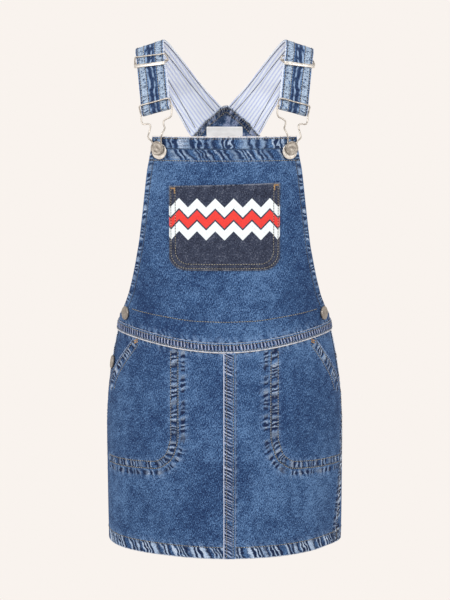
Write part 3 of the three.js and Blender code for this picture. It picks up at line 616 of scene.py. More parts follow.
# painted shade: the colour of the dark capsules between stitches, where the thread dips into the cloth
STITCH_GAP_SHADE = colour(14, 20, 36)


def thread(name, shade):
    paint = Paint(name, roughness=0.7, sheen_weight=0.3)
    _, u, v = paint.uv("cut")
    twist = paint.sine((u + v * 2.0) * (2 * math.pi / 0.0007))
    tone = paint.noise(paint.point(u * 160, v * 160, 2.0), 1.0)
    dark = tuple(c * 0.55 for c in shade)
    return paint.out(Base_Color=paint.mix(paint.smooth(tone, 0.3, 0.65), dark, shade),
                     Normal=paint.bump(twist, 0.0001))


tan_thread = thread("thread_tan", TAN)
navy_thread = thread("thread_navy", NAVY_THREAD)
needle_holes = thread("needle_holes", STITCH_GAP_SHADE)


def resample(points, pitch):
    """Places a pitch apart along a line of points."""
    far = np.concatenate([[0], np.cumsum(np.linalg.norm(np.diff(points, axis=0), axis=1))])
    count = max(2, int(far[-1] / pitch))
    at = np.linspace(0, far[-1], count + 1)
    return np.stack([np.interp(at, far, points[:, k]) for k in range(points.shape[1])], -1)


def thread_loops(name, start, end, out, material, thick):
    """Stitches as small raised capsules, from start to end, that stand out of the cloth. All in mm."""
    out = out / np.linalg.norm(out, axis=1, keepdims=True)
    along = end - start
    length = np.linalg.norm(along, axis=1, keepdims=True)
    along = along / length
    side = np.cross(along, out)
    # share along the stitch, height of its middle, size of its section
    profile = [(0.0, -0.3, 0.35), (0.16, 0.12, 0.9), (0.5, 0.3, 1.0), (0.84, 0.12, 0.9), (1.0, -0.3, 0.35)]
    around = np.radians([0, 60, 120, 180, 240, 300])
    rings = []
    for place, height, size in profile:
        middle = start + along * length * place + out * height * thick
        for turn in around:
            rings.append(middle + (side * math.cos(turn) + out * math.sin(turn) * 0.8) * size * thick)
    points = np.stack(rings, 1)
    count, each = points.shape[:2]
    sides = len(around)
    one = [(r * sides + k, (r + 1) * sides + k, (r + 1) * sides + (k + 1) % sides, r * sides + (k + 1) % sides)
           for r in range(len(profile) - 1) for k in range(sides)]
    last = (len(profile) - 1) * sides
    one += [(0, 1, 2, 3), (0, 3, 4, 5)]
    one += [(last + 3, last + 2, last + 1, last), (last + 5, last + 4, last + 3, last)]
    faces = (np.arange(count)[:, None, None] * each + np.array(one)[None]).reshape(-1, 4)
    flat_points = points.reshape(-1, 3)
    place = np.stack([np.repeat(np.arange(count) * 3.0, each), np.tile(np.repeat(np.arange(5), sides), count)], -1)
    piece = finished(name, flat_points, [faces], {"cut": place * MM}, material)
    return piece


trees = {}


def laid_on(cloth, points, out):
    """Points moved along their normals, out, on to the face of a piece of cloth. All in mm."""
    if cloth.name not in trees:
        mesh = cloth.data
        trees[cloth.name] = BVHTree.FromPolygons([v.co for v in mesh.vertices], [p.vertices for p in mesh.polygons])
    reach = 6 * MM
    laid = []
    for point, way in zip(points * MM, out):
        way = Vector(way).normalized()
        hit = trees[cloth.name].ray_cast(Vector(point) + way * reach, -way, 2 * reach)[0]
        laid.append(hit or point)
    return np.array(laid) / MM


def stitches(name, cloth, rows, material, pitch=3.2, share=0.5, thick=0.42):
    """Rows of lockstitch on a piece of cloth, with a dark capsule of painted shade between each two stitches, where the
    thread dips into the cloth. A row is points near its face and their normals, in mm."""
    starts, ends, nexts, outs = [], [], [], []
    for points, normal in rows:
        both = resample(np.concatenate([points, normal], 1), pitch)
        spot, out = both[:, :3], both[:, 3:]
        starts.append(spot[:-1])
        ends.append(spot[:-1] + (spot[1:] - spot[:-1]) * share)
        nexts.append(spot[1:])
        outs.append((out[:-1] + out[1:]) / 2)
    starts, ends, nexts, outs = (np.concatenate(x) for x in (starts, ends, nexts, outs))
    starts, ends, nexts = (laid_on(cloth, x, outs) for x in (starts, ends, nexts))
    thread_loops(name, starts, ends, outs, material, thick)
    # dark capsules of painted shade in the gaps between stitches
    thread_loops(name + "_holes", ends, nexts, outs, needle_holes, thick * 1.25)


def bar_tacks(name, cloth, rows, material, width=1.9, thick=0.27):
    """Bar tacks, short rows of stitches that lie close together across the row."""
    starts, ends, outs = [], [], []
    for points, normal in rows:
        both = resample(np.concatenate([points, normal], 1), 1.7 * thick)
        spot, out = both[:, :3], both[:, 3:]
        across = np.cross(np.gradient(spot, axis=0), out)
        across *= width / 2 / np.linalg.norm(across, axis=1, keepdims=True)
        starts.append(spot - across)
        ends.append(spot + across)
        outs.append(out)
    starts, ends, outs = (np.concatenate(x) for x in (starts, ends, outs))
    return thread_loops(name, laid_on(cloth, starts, outs), laid_on(cloth, ends, outs), outs, material, thick)


def seen_row(x_and_z, from_behind=False):
    """A row through (x, z) places of the worn dress, seen from the front or from behind."""
    places = resample(np.asarray(x_and_z, float), 1.5)
    angle = np.sign(places[:, 0]) * angle_at(np.abs(places[:, 0]), places[:, 1])
    return ring_row(180 - angle if from_behind else angle, places[:, 1])


def ring_row(angle, z):
    """A row through places given by their angle and level."""
    normal = form_normal(angle, z)
    return form(angle, z) + normal * DENIM, normal


def bib_row_at(z, inset=0.0):
    half = float(along_table(bib_edge_rows[:, 0], bib_edge_rows[:, 1], z)) - inset
    return [(x, z) for x in np.linspace(-half, half, 60)]


armhole_levels = np.linspace(BIB_TOP - 2, -338, 60)
armhole_widths = along_table(bib_edge_rows[:, 0], bib_edge_rows[:, 1], armhole_levels) - ARMHOLE_HEM + 1
# the row across the bib above the waist: x from the middle, level
FACING_ROW = [(0, -340), (42, -339), (73, -335.6), (99, -333), (115, -331)]
facing_row = [(-x, z) for x, z in FACING_ROW[:0:-1]] + FACING_ROW
stitches("bib_stitching", bib, [
    seen_row(bib_row_at(BIB_TOP - 2.2, 2)), seen_row(bib_row_at(BIB_HEM_LINE)), seen_row(facing_row),
], tan_thread)
stitches("armhole_stitching", bib, [
    seen_row(np.stack([way * armhole_widths, armhole_levels], -1)) for way in (-1, 1)
], navy_thread)

# The chest pocket. A patch of navy canvas twill with rounded lower corners, turned in all round, topstitched to
# the bib with two rows of tan thread, and bar tacked at its top corners. Zigzag bands are printed across it.
POCKET_HALF = 67
POCKET_TOP = -172
POCKET_TILT = 0.03
POCKET_BOTTOM = -276.5
POCKET_CORNER = 20
NAVY = colour(50, 57, 77)
NAVY_DEEP = colour(24, 28, 44)
NAVY_WORN = colour(122, 127, 140)
PRINT_RED = colour(228, 62, 54)
PRINT_WHITE = colour(232, 240, 243)


def rounded_bottom(x, edges, corner, bottom):
    near = np.min([np.abs(x - edge) for edge in edges], axis=0)
    rise = corner - np.sqrt(np.maximum(0, corner**2 - (corner - near) ** 2))
    return bottom + np.where(near < corner, rise, 0)


def pocket_x(angle):
    return form(angle, POCKET_BOTTOM)[..., 0]


def pocket_print(name):
    """Navy canvas with a fine twill. Zigzags of white and red lie across its middle, and its edges are worn."""
    paint = Paint(name, roughness=0.85, specular_ior_level=0.25)
    _, u, v = paint.uv("cut")
    _, to_edge, _ = paint.uv("edge")
    _, along, _ = paint.uv("seam")
    weave = paint.noise(paint.point(u * 760 + v * 300, v * 520, 0.0), 1.0, 1.0)
    clouds = paint.noise(paint.point(u * 110, v * 90, 4.0), 1.0, 3.0, 0.6)
    tone = weave * 0.65 + clouds * 0.35
    cloth = paint.mix(paint.smooth(tone, 0.34, 0.56), NAVY_DEEP, NAVY)
    cloth = paint.mix(paint.smooth(tone, 0.52, 0.72) * 0.6, cloth, NAVY_WORN)
    peak = 11.2 * MM
    zigzag = paint.number("PINGPONG", u + 2 * peak, peak)
    level = v - (POCKET_BOTTOM + 37) * MM - zigzag
    shade = 0.85 + weave * 0.15
    # base of each zigzag band, its width and its colour
    for low, width, print_colour in ((0, 12, PRINT_WHITE), (14.5, 11, PRINT_RED), (28, 12, PRINT_WHITE)):
        dull = tuple(c * 0.8 for c in print_colour)
        inked = paint.mix(paint.smooth(tone, 0.25, 0.5), dull, print_colour)
        inside = paint.smooth(level, (low - 0.3) * MM, (low + 0.3) * MM)
        inside = inside * paint.smooth(level, (low + width + 0.3) * MM, (low + width - 0.3) * MM)
        cloth = paint.mix(inside * shade, cloth, inked)
    rubbed = paint.smooth(to_edge, 1.5 * MM, 0.3 * MM) * paint.smooth(clouds * 0.5 + weave * 0.5, 0.4, 0.56)
    cloth = paint.mix(rubbed * 0.7, cloth, NAVY_WORN)
    puckers = paint.noise(paint.point(along * 260, to_edge * 60, 1.0), 1.0, 1.0)
    height = weave * 0.6 + paint.smooth(to_edge, 11 * MM, 2 * MM) * puckers * 1.4
    return paint.out(Base_Color=cloth, Normal=paint.bump(height, 0.0004))


def pocket_outline(inset):
    """The sewn line a little way inside the sides and the rounded bottom of the chest pocket."""
    half, low, corner = POCKET_HALF - inset, POCKET_BOTTOM + inset, POCKET_CORNER - inset * 0.6
    turn = np.radians(np.linspace(0, 90, 12))
    arc = np.stack([half - corner + corner * np.cos(turn), low + corner - corner * np.sin(turn)], -1)
    right = np.concatenate([[(half, POCKET_TOP - 3 + POCKET_TILT * half)], arc])
    left = right[::-1] * np.array([-1, 1])
    left[-1, 1] = POCKET_TOP - 3 - POCKET_TILT * half
    return np.concatenate([right, left])


pocket_canvas = pocket_print("pocket_canvas")
over_inner, over_outer = flat(DENIM + GAP), flat(2 * DENIM + GAP)
chest_pocket, pocket_cut = panel(
    "chest_pocket_cloth", lambda z: -angle_at(POCKET_HALF, z), lambda z: angle_at(POCKET_HALF, z),
    lambda angle: rounded_bottom(pocket_x(angle), (-POCKET_HALF - 0.5, POCKET_HALF + 0.5), POCKET_CORNER,
                                 POCKET_BOTTOM),
    lambda angle: POCKET_TOP + POCKET_TILT * pocket_x(angle),
    steps(134, 1.8, [(0, 6, 0.8), (128, 134, 0.8)]), steps(104, 1.8, [(0, 4, 0.8), (100, 104, 0.8)]),
    over_inner, over_outer, pocket_canvas,
    lambda cut: [(on_cut(cut, pocket_outline(5)), 5, 0.1, 6.0, 0, 1)], roped(0.16), wear=(1, 1, 1, 1.2),
)
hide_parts("chest_pocket")
cloth_area(pocket_cut["face"])
stitches("pocket_stitching", chest_pocket, [
    seen_row(pocket_outline(2.3)), seen_row(pocket_outline(7.6)),
], tan_thread)
GOLD = colour(214, 164, 96)
gold_thread = thread("thread_gold", GOLD)
corner_tacks = []
for way in (-1, 1):
    top = POCKET_TOP + POCKET_TILT * way * POCKET_HALF - 2.6
    corner_tacks.append(seen_row([(way * (POCKET_HALF - 2), top), (way * (POCKET_HALF - 7.5), top)]))
    corner_tacks.append(seen_row([(way * (POCKET_HALF - 6.8), top - 1), (way * (POCKET_HALF - 6.8), top - 6)]))
bar_tacks("pocket_bar_tacks", chest_pocket, corner_tacks, gold_thread)

# The waist strips. A bias strip of denim, felled over the seam between bodice and skirt, one across the front
# and one across the back. Two rows of tan thread pull it into close ridges, which a wash rubs pale.
waist_blue = denim("denim_waist", worn=0.55, pale=0.85, deep=1.0, rubbed=0.95, even=0.7, bars=colour(166, 176, 206),
                   white=colour(214, 216, 232), folds=colour(214, 211, 210))


def strip_sewn(cut):
    row = grid_line(cut, row=len(cut["u"]) // 2)[::4]
    return [(row, 3.4, 0.15, 4.4, 0, 1)]


for half, start, end in (("front", -90, 90), ("back", 90, 270)):
    strip, strip_cut = panel(
        f"waist_strip_{half}_cloth", flat(start + SIDE_GAP / 2), flat(end - SIDE_GAP / 2),
        waist_low, lambda angle: waist_low(angle) + WAIST_STRIP,
        steps(330, 1.1), steps(WAIST_STRIP, 1.2, [(0, 1.8, 0.6), (WAIST_STRIP - 1.8, WAIST_STRIP, 0.6)]),
        over_inner, over_outer, waist_blue, strip_sewn, roped(0.42), wear=(0.2, 0.2, 1.05, 0.35),
    )
    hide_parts(f"waist_strip_{half}")
    cloth_area(strip_cut["face"])
    ["bib_cloth"] if half == "front" else ["back_cloth"]
    around = np.linspace(start + 0.6, end - 0.6, 240)
    stitches(f"waist_stitching_{half}", strip, [
        ring_row(around, waist_low(around) + 2.4), ring_row(around, waist_low(around) + WAIST_STRIP - 2.4),
    ], tan_thread)

# The skirt. Two fronts and a plain back of the same denim, with a 15 mm hem turned up and sewn with tan thread.
# The fronts are cut away in slanted pocket openings, whose edges are turned in, stitched, and bar tacked above.
SIDE_SEAM_ROWS = np.array([(-340, -90, 90), (-400, -90, 88), (-458, -91, 84), (-520, -92, 79), (-640, -94, 71)])
OPENING_ANGLE = 56.5
OPENING_TOP = -365
OPENING_BOTTOM = -436
OPENING_BOW = 1.15
SKIRT_HEM_ROW = -622.4
# the line of the hip pocket's bag, which is sewn through the front: x from the middle, level
BAG_LINE = [(61.5, -378), (61.5, -488), (68.5, -511), (82, -522), (106, -524.5), (146, -528)]
BAG_ROWS_APART = 9


def left_seam(z):
    return along_table(SIDE_SEAM_ROWS[:, 0], SIDE_SEAM_ROWS[:, 1], z)


def right_seam(z):
    return along_table(SIDE_SEAM_ROWS[:, 0], SIDE_SEAM_ROWS[:, 2], z)


def front_skirt_edge(side, z):
    seam = -left_seam(z) if side < 0 else right_seam(z)
    share = np.clip((OPENING_TOP - z) / (OPENING_TOP - OPENING_BOTTOM), 0, 1)
    opening = OPENING_ANGLE + (seam - SIDE_GAP / 2 - OPENING_ANGLE) * share**OPENING_BOW
    return np.where(z <= OPENING_BOTTOM, seam - SIDE_GAP / 2, opening)


def hem_inner(angle, z):
    hem_line = SKIRT_BOTTOM + SKIRT_HEM
    return -TURNED * (1 - ease(z, hem_line, hem_line + HEM_RAMP))


def skirt_top(angle):
    return waist_middle(angle) - GAP / 2


def hem_band(cut):
    return (grid_line(cut, row=0)[::4] + np.array([0, 7.2]), 7.4, 0.45, 7.0, 0, 1.15)


def waist_band(cut):
    return (grid_line(cut, row=-1)[::4], *WAIST_HALO)


def beside(line, distance):
    """A line of (x, z) places moved to its left by a distance."""
    line = np.asarray(line, float)
    way = np.gradient(line, axis=0)
    way /= np.linalg.norm(way, axis=1, keepdims=True)
    return line + distance * np.stack([-way[:, 1], way[:, 0]], -1)


def opening_line(side, inset):
    levels = np.linspace(OPENING_TOP - 4, OPENING_BOTTOM, 24)
    edge = form(side * front_skirt_edge(side, levels), levels)[:, 0]
    return beside(np.stack([edge, levels], -1), -side * inset)


bag_curve = resample(np.array([(x, z) for x, z in BAG_LINE], float), 2.0)
for _ in range(6):
    bag_curve[1:-1] = (bag_curve[:-2] + 2 * bag_curve[1:-1] + bag_curve[2:]) / 4
skirt_blue = denim("denim_skirt", worn=0.4, pale=1.0, deep=1.0, rubbed=0.8, bars=colour(166, 187, 214))


def bag_line(side, offset):
    return beside(bag_curve, offset) * np.array([side, 1])


def front_sewn(side):
    def bands_of(cut):
        seam = grid_line(cut, column=0 if side < 0 else -1)[::4]
        seam = seam[seam[:, 1] < OPENING_BOTTOM] - np.array([side * 3.0, 0])
        bands = [
            hem_band(cut), waist_band(cut),
            (on_cut(cut, bag_line(side, 0)), 4.7, 0.2, 7.0, 0, 0.5),
            (on_cut(cut, bag_line(side, -BAG_ROWS_APART * 1.15)), 6.4, 0.2, 8.5, 0.55, 0.42),
            (on_cut(cut, opening_line(side, 4.5)), 5.2, 0.2, 7.0, 0.2, 0.8),
            (seam, 3.4, 0.3, 7.0, 0.1, 0.3),
        ]
        if side > 0:
            bands.append((grid_line(cut, column=0)[::4] + np.array([12.6, 0]), 2.6, 0.3, 9.0, 0.4, 1))
        return bands
    return bands_of


def front_wear(z):
    return np.where(z > OPENING_BOTTOM, 0.8, 0.15)


skirt_up = steps(275, 2.0, [(0, 18, 1.5), (0, 2, 0.8), (262, 275, 1.5)])
skirt = {}
for hand, side in (("left", -1), ("right", 1)):
    def centre_edge(z, side=side):
        return side * angle_at(GAP / 2, z)

    def free_edge(z, side=side):
        return side * front_skirt_edge(side, z)

    across = steps(190, 2.0, [(186, 190, 0.9)])
    if side < 0:
        across = 1 - across[::-1]
    front, front_cut = panel(
        f"skirt_front_{hand}_cloth", free_edge if side < 0 else centre_edge, centre_edge if side < 0 else free_edge,
        flat(SKIRT_BOTTOM), skirt_top, across, skirt_up, hem_inner, flat(DENIM),
        skirt_blue, front_sewn(side), roped(0.34), wear=(front_wear, 0.1, 0.8, 0.1) if side < 0 else (0.1, front_wear, 0.8, 0.1),
    )
    skirt[hand] = front
    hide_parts(f"skirt_front_{hand}")
    cloth_area(front_cut["face"])
    hem_angle = np.linspace(0.5, front_skirt_edge(side, np.array(SKIRT_HEM_ROW)) - 0.5, 120) * side
    stitches(f"skirt_stitching_{hand}", front, [
        ring_row(hem_angle, np.full(120, SKIRT_HEM_ROW)),
        seen_row(bag_line(side, BAG_ROWS_APART / 2)), seen_row(bag_line(side, -BAG_ROWS_APART / 2)),
        seen_row(opening_line(side, 9)), seen_row(opening_line(side, 2)),
    ], tan_thread)
    tack = opening_line(side, 0)[0] - np.array([side * 5.0, 0])
    slant = np.array([side * 2.1, -1.2])
    bar_tacks(f"opening_bar_tack_{hand}", front, [
        seen_row([tack - slant, tack + slant]), seen_row([tack - slant + (0, -2.6), tack + slant + (0, -2.6)]),
    ], gold_thread)

back_skirt, back_skirt_cut = panel(
    "skirt_back_cloth", lambda z: right_seam(z) + SIDE_GAP / 2, lambda z: 360 + left_seam(z) - SIDE_GAP / 2,
    flat(SKIRT_BOTTOM), skirt_top, steps(460, 2.2), skirt_up, hem_inner, flat(DENIM),
    skirt_blue, lambda cut: [
        hem_band(cut), waist_band(cut), (grid_line(cut, column=0)[::4] + (5, 0), 6.0, 0.3, 9.0, 0, 1.1),
        (grid_line(cut, column=-1)[::4] - (5, 0), 6.0, -0.3, 9.0, 0, 1.1),
    ], roped(0.34), wear=(0.7, 0.7, 0.8, 0.1),
)
skirt["back"] = back_skirt
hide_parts("skirt_back")
cloth_area(back_skirt_cut["face"])
hem_around = np.linspace(float(right_seam(SKIRT_HEM_ROW)) + 0.6, 360 + float(left_seam(SKIRT_HEM_ROW)) - 0.6, 240)
seam_levels = np.linspace(OPENING_BOTTOM - 4, SKIRT_BOTTOM + 2, 60)
SEAM_ROW = 1.9  # degrees round the form from the side seam to the row that fells it
stitches("skirt_stitching_back", back_skirt, [
    ring_row(hem_around, np.full(240, SKIRT_HEM_ROW)),
    ring_row(right_seam(seam_levels) + SEAM_ROW, seam_levels),
    ring_row(360 + left_seam(seam_levels) - SEAM_ROW, seam_levels),
], tan_thread)

# The centre front seam. The left front is turned over the right one and felled down with two rows of tan thread.
# Its folded edge stands up and is rubbed nearly white, and the layers inside it rope in slanted ridges.
CENTRE_FOLD = -1.0
CENTRE_LAP = 13.5
centre_blue = denim("denim_centre_seam", worn=0.5, pale=0.82, deep=1.0, rubbed=1.1, even=0.4,
                    bars=colour(168, 182, 214), folds=colour(206, 212, 230))
centre_seam, centre_cut = panel(
    "centre_front_seam_cloth", lambda z: -angle_at(-CENTRE_FOLD, z), lambda z: angle_at(CENTRE_LAP, z),
    flat(SKIRT_BOTTOM), lambda angle: waist_low(angle) - GAP,
    steps(14.5, 1.2, [(0, 2, 0.5)]), skirt_up, over_inner, over_outer, centre_blue,
    lambda cut: [(grid_line(cut, column=7)[::4], 4.8, -0.5, 4.4, 0, 1)], roped(0.38),
    wear=(0.85, 0.32, 0.6, 0.1),
)
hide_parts("centre_front_seam")
cloth_area(centre_cut["face"])
stitches("centre_stitching", centre_seam, [
    seen_row([(x, -380), (x, SKIRT_BOTTOM + 1)]) for x in (2.6, 10.6)
], tan_thread)

# The hip pockets. Each bag is faced with denim, which shows as the hip in the slanted opening. It is sewn to the
# front along the bag's line and caught in the waist and the side seam, under one layer of the front.
HIP_INNER = 56.5
HIP_BOTTOM = -529
HIP_CORNER = 22
for hand, side in (("left", -1), ("right", 1)):
    def hip_seam(z, side=side):
        return left_seam(z) + SIDE_GAP / 2 if side < 0 else right_seam(z) - SIDE_GAP / 2

    def hip_inner_edge(z, side=side):
        return side * angle_at(HIP_INNER, z)

    def hip_bottom(angle):
        x = np.abs(form(angle, HIP_BOTTOM)[..., 0])
        return rounded_bottom(x, (HIP_INNER - 0.5,), HIP_CORNER, HIP_BOTTOM)

    hip, hip_cut = panel(
        f"hip_pocket_{hand}_cloth", hip_seam if side < 0 else hip_inner_edge,
        hip_inner_edge if side < 0 else hip_seam, hip_bottom, skirt_top,
        steps(120, 3.0), steps(165, 3.0), flat(-DENIM - 2 * GAP), flat(-2 * GAP), skirt_blue,
        lambda cut: [waist_band(cut)],
    )
    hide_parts(f"hip_pocket_{hand}")
    cloth_area(hip_cut["face"])

# The back. One piece of denim from the waist up to a pointed yoke, with narrow armhole hems. A facing of the same
# denim lines the yoke, sewn along its edge with two rows, and a plain ribbon label is sewn to the facing.
back_edge_rows = np.array([
    (-126, 47), (-150, 52), (-190, 60), (-230, 73), (-270, 92), (-305, 112), (-322, 121.5), (-334, 127.6),
    (-341, 130.6), (-345, 134),
])
YOKE_PEAK = 2
YOKE_OUT = [0, 7, 18, 30, 41, 50, 300]
YOKE_LEVEL = [-82.3, -85, -94.5, -104.5, -118, -129, -129]
YOKE_FACING_BOTTOM = -168
STRAP_THICKNESS = LINING + GAP + DENIM


def back_edge(z):
    width = along_table(back_edge_rows[:, 0], back_edge_rows[:, 1], z)
    return np.minimum(90 - SIDE_GAP / 2, angle_at(width, z))


def yoke_top(angle):
    return np.interp(np.abs(form(angle, -110)[..., 0] - YOKE_PEAK), YOKE_OUT, YOKE_LEVEL)


def yoke_lift(angle, z):
    return (STRAP_THICKNESS + GAP) * ease(z, -195, -150)


def back_sewn(cut):
    inset = np.array([ARMHOLE_HEM / 2, 0])
    return [
        (grid_line(cut, column=0)[::5] + inset, 4.2, 0.3, 7.0, 0.5, 1),
        (grid_line(cut, column=-1)[::5] - inset, 4.2, -0.3, 7.0, 0.5, 1),
        (grid_line(cut, row=-1)[::5] - np.array([0, 5]), 6, 0.1, 6.0, 0, 1),
        (grid_line(cut, row=0)[::5], *WAIST_HALO),
    ]


back, back_cut = panel(
    "back_cloth", lambda z: 180 - back_edge(z), lambda z: 180 + back_edge(z),
    lambda angle: waist_middle(angle) + GAP / 2, yoke_top, steps(270, 2.2), steps(250, 2.2),
    yoke_lift, lambda angle, z: yoke_lift(angle, z) + DENIM, bib_blue, back_sewn, roped(0.35),
    wear=(0.5, 0.5, 0.3, 1.0),
)
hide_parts("back")
cloth_area(back_cut["face"])

YOKE_PALE = colour(158, 168, 198)


def yoke_finish(paint, base, u, v, ragged, grain):
    """The facing was less washed: deep navy, with greyish clouds."""
    depth = paint.noise(paint.point(u * 80, v * 60, 11.0), 1.0, 3.0, 0.6)
    base = paint.mix(paint.smooth(depth, 0.6, 0.44) * 0.7, base, BLUE_DEEP_DYE_AND_SHADE)
    return paint.mix(paint.smooth(depth + ragged * 0.3, 0.62, 0.76) * (0.4 + grain * 0.6), base, YOKE_PALE)


yoke_blue = denim("denim_yoke_facing", worn=0.9, pale=1.0, deep=0.9, bars=colour(184, 196, 214), finish=yoke_finish)
facing, facing_cut = panel(
    "yoke_facing_cloth", lambda z: 180 - back_edge(z), lambda z: 180 + back_edge(z),
    flat(YOKE_FACING_BOTTOM), yoke_top, steps(110, 1.8), steps(85, 1.8), flat(-GAP), flat(-DENIM - GAP),
    yoke_blue, lambda cut: [(grid_line(cut, row=-1)[::3] - np.array([0, 6]), 6, 0.2, 5.0, 0, 1.2)],
    lambda cut: -roped(0.3)(cut), wear=(0.6, 0.6, 0.4, 1.2),
)
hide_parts("yoke_facing")
cloth_area(facing_cut["face"])

rising = np.linspace(YOKE_OUT[1], 47, 24)
edge_levels = np.interp(rising, YOKE_OUT, YOKE_LEVEL)
yoke_rows = []
for inset in (2.2, 8.0):
    half = beside(np.stack([rising, edge_levels], -1), -inset)
    line = np.concatenate([half[::-1] * np.array([-1, 1]), half]) + np.array([YOKE_PEAK, 0])
    points, normal = seen_row(line, from_behind=True)
    yoke_rows.append((points, normal))
stitches("yoke_stitching", facing, [(points - 3 * normal, -normal) for points, normal in yoke_rows], tan_thread)
back_levels = np.linspace(-132, -338, 60)
back_widths = along_table(back_edge_rows[:, 0], back_edge_rows[:, 1], back_levels) - ARMHOLE_HEM + 1
stitches("back_stitching", back, yoke_rows, tan_thread)
stitches("back_armhole_stitching", back, [
    seen_row(np.stack([way * back_widths, back_levels], -1), from_behind=True) for way in (-1, 1)
], navy_thread)

# The label. A plain white satin ribbon, folded at its ends and sewn to the yoke facing. It is bare.
LABEL_HALF = 23.5
LABEL_TOP = -110
LABEL_BOTTOM = -132
LABEL_CLOTH = 1.0
ribbon = Paint("label_ribbon", roughness=0.5, specular_ior_level=0.4, sheen_weight=0.2)
_, label_u, label_v = ribbon.uv("cut")
ribs = ribbon.sine(label_v * (2 * math.pi / 0.0009))
creased = ribbon.noise(ribbon.point(label_u * 70, label_v * 140, 2.0), 1.0, 2.0)
ribbon.out(
    # painted shade: the ribbon's white is a little darker where the creases sink
    Base_Color=ribbon.mix(ribbon.smooth(creased, 0.3, 0.7), colour(240, 239, 238), colour(254, 253, 252)),
    Normal=ribbon.bump(ribs * 0.1 + creased, 0.0004),
)
label, label_cut = panel(
    "yoke_label_ribbon", lambda z: 180 - angle_at(LABEL_HALF, z), lambda z: 180 + angle_at(LABEL_HALF, z),
    flat(LABEL_BOTTOM), flat(LABEL_TOP), steps(47, 1.5), steps(22, 1.5),
    flat(-DENIM - 2 * GAP), flat(-DENIM - 2 * GAP - LABEL_CLOTH), ribbon.material,
)
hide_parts("yoke_label")
cloth_area(label_cut["face"])

# The straps. Denim outside and a finely striped cotton inside, turned in and sewn with two rows along each edge.
# Each runs from under the yoke over the shoulder, round the hook's bar, and back up behind itself to the slider.
# distance from the middle, y, level, width, slope of the outer edge and its turn, from the yoke forwards
STRAP_PATH = np.array([
    (21.7, 86, -105.2, 56, 43, -8), (25.5, 85.5, -101, 55, 43, -8), (39, 79, -82, 49, 41, -9),
    (54, 67, -60, 44, 36, -10), (68, 51, -38, 40, 30, -8), (80.5, 33, -20, 38, 25, -4), (88.5, 16, -9, 37, 20, 0),
    (92.5, 1, -5, 36.5, 18, 4), (93, -13, -6.5, 36, 17, 9), (92.5, -24, -10.8, 36, 15, 14),
    (91.7, -30, -16, 36, 14, 17),
])
RUN_LENGTH = 74.5
RUN_WAY = np.array([7.7, 35.3, 66])
ON_BACK_FROM = -48
ON_BACK_TO = -80
RETURN_END = 8.5
POST_RADIUS = 1.1
BAR_IN = POST_RADIUS + GAP


def unit(vector):
    return vector / np.linalg.norm(vector, axis=-1, keepdims=True)


def curve_through(points, each):
    """A smooth line through points, with so many steps to each stretch, and its directions."""
    points = np.asarray(points, float)
    ends = np.concatenate([[2 * points[0] - points[1]], points, [2 * points[-1] - points[-2]]])
    line, ways = [], []
    for k in range(len(points) - 1):
        p = ends[k:k + 4]
        d = np.maximum(np.linalg.norm(np.diff(p, axis=0), axis=1), 1e-4) ** 0.5
        first = ((p[1] - p[0]) / d[0] - (p[2] - p[0]) / (d[0] + d[1]) + (p[2] - p[1]) / d[1]) * d[1]
        second = ((p[2] - p[1]) / d[1] - (p[3] - p[1]) / (d[1] + d[2]) + (p[3] - p[2]) / d[2]) * d[1]
        count = each + 1 if k == len(points) - 2 else each
        for t in np.arange(count)[:, None] / each:
            a, b = 3 * (p[2] - p[1]) - 2 * first - second, 2 * (p[1] - p[2]) + first + second
            line.append(p[1] + first * t + a * t**2 + b * t**3)
            ways.append(first + 2 * a * t + 3 * b * t**2)
    return np.array(line), unit(np.array(ways))


def strap_stations(side, each=8):
    """The strap as stations: points on the face of its lining, ways along and to the outer edge, normals and
    widths, and the top and the way of its straight front run."""
    mirror = np.array([side, 1, 1])
    points = STRAP_PATH[:, :3] * mirror
    run = unit(-RUN_WAY * mirror)
    top = points[-1]
    points = np.concatenate([points, [top + run * RUN_LENGTH * share for share in (0.15, 0.5, 1)]])
    rows = np.concatenate([STRAP_PATH[:, 3:], np.repeat(STRAP_PATH[-1:, 3:], 3, axis=0)])
    line, along = curve_through(points, each)
    at = np.arange(len(line)) / each
    width, slope, turn = (np.interp(at, np.arange(len(rows)), rows[:, k]) for k in range(3))
    along[at >= len(STRAP_PATH) - 1] = run
    slope, turn = np.radians(slope), np.radians(turn)
    edge = np.stack([side * np.cos(slope), np.tan(turn), -np.sin(slope)], -1)
    edge = unit(edge - along * (edge * along).sum(1, keepdims=True))
    normal = np.cross(along, edge) * side
    return {"point": line, "along": along, "edge": edge, "normal": normal, "width": width, "top": top, "run": run}


def strap_grid(side, share_across, step=2.0):
    """The strap with its turn round the bar and its return: places, normals and lengths along, and how far each
    place has settled on the back."""
    s = strap_stations(side)
    end, normal, along, edge = s["point"][-1], s["normal"][-1], s["along"][-1], s["edge"][-1]
    turns = np.radians(np.arange(10, 181, 10))[:, None]
    round_bar = normal * np.cos(turns) + along * np.sin(turns)
    bar = end - normal * BAR_IN
    length = RUN_LENGTH - RETURN_END
    back_up = np.linspace(0, length, int(length / step) + 1)[1:, None]
    point = np.concatenate([s["point"], bar + round_bar * BAR_IN, bar - normal * BAR_IN - along * back_up])
    normals = np.concatenate([s["normal"], round_bar, np.repeat(round_bar[-1:], len(back_up), axis=0)])
    width = np.concatenate([s["width"], np.full(len(turns) + len(back_up), s["width"][-1])])
    edges = np.concatenate([s["edge"], np.repeat(edge[None], len(turns) + len(back_up), axis=0)])
    middle_of_cloth = point + normals * STRAP_THICKNESS
    far = np.concatenate([[0], np.cumsum(np.linalg.norm(np.diff(middle_of_cloth, axis=0), axis=1))])
    places = point[:, None] + edges[:, None] * (width[:, None] * (share_across - 0.5))[..., None]
    settled = ease(places[..., 2], ON_BACK_FROM, ON_BACK_TO) * (places[..., 1] > 0)
    return places, np.repeat(normals[:, None], len(share_across), axis=1), far, width, settled


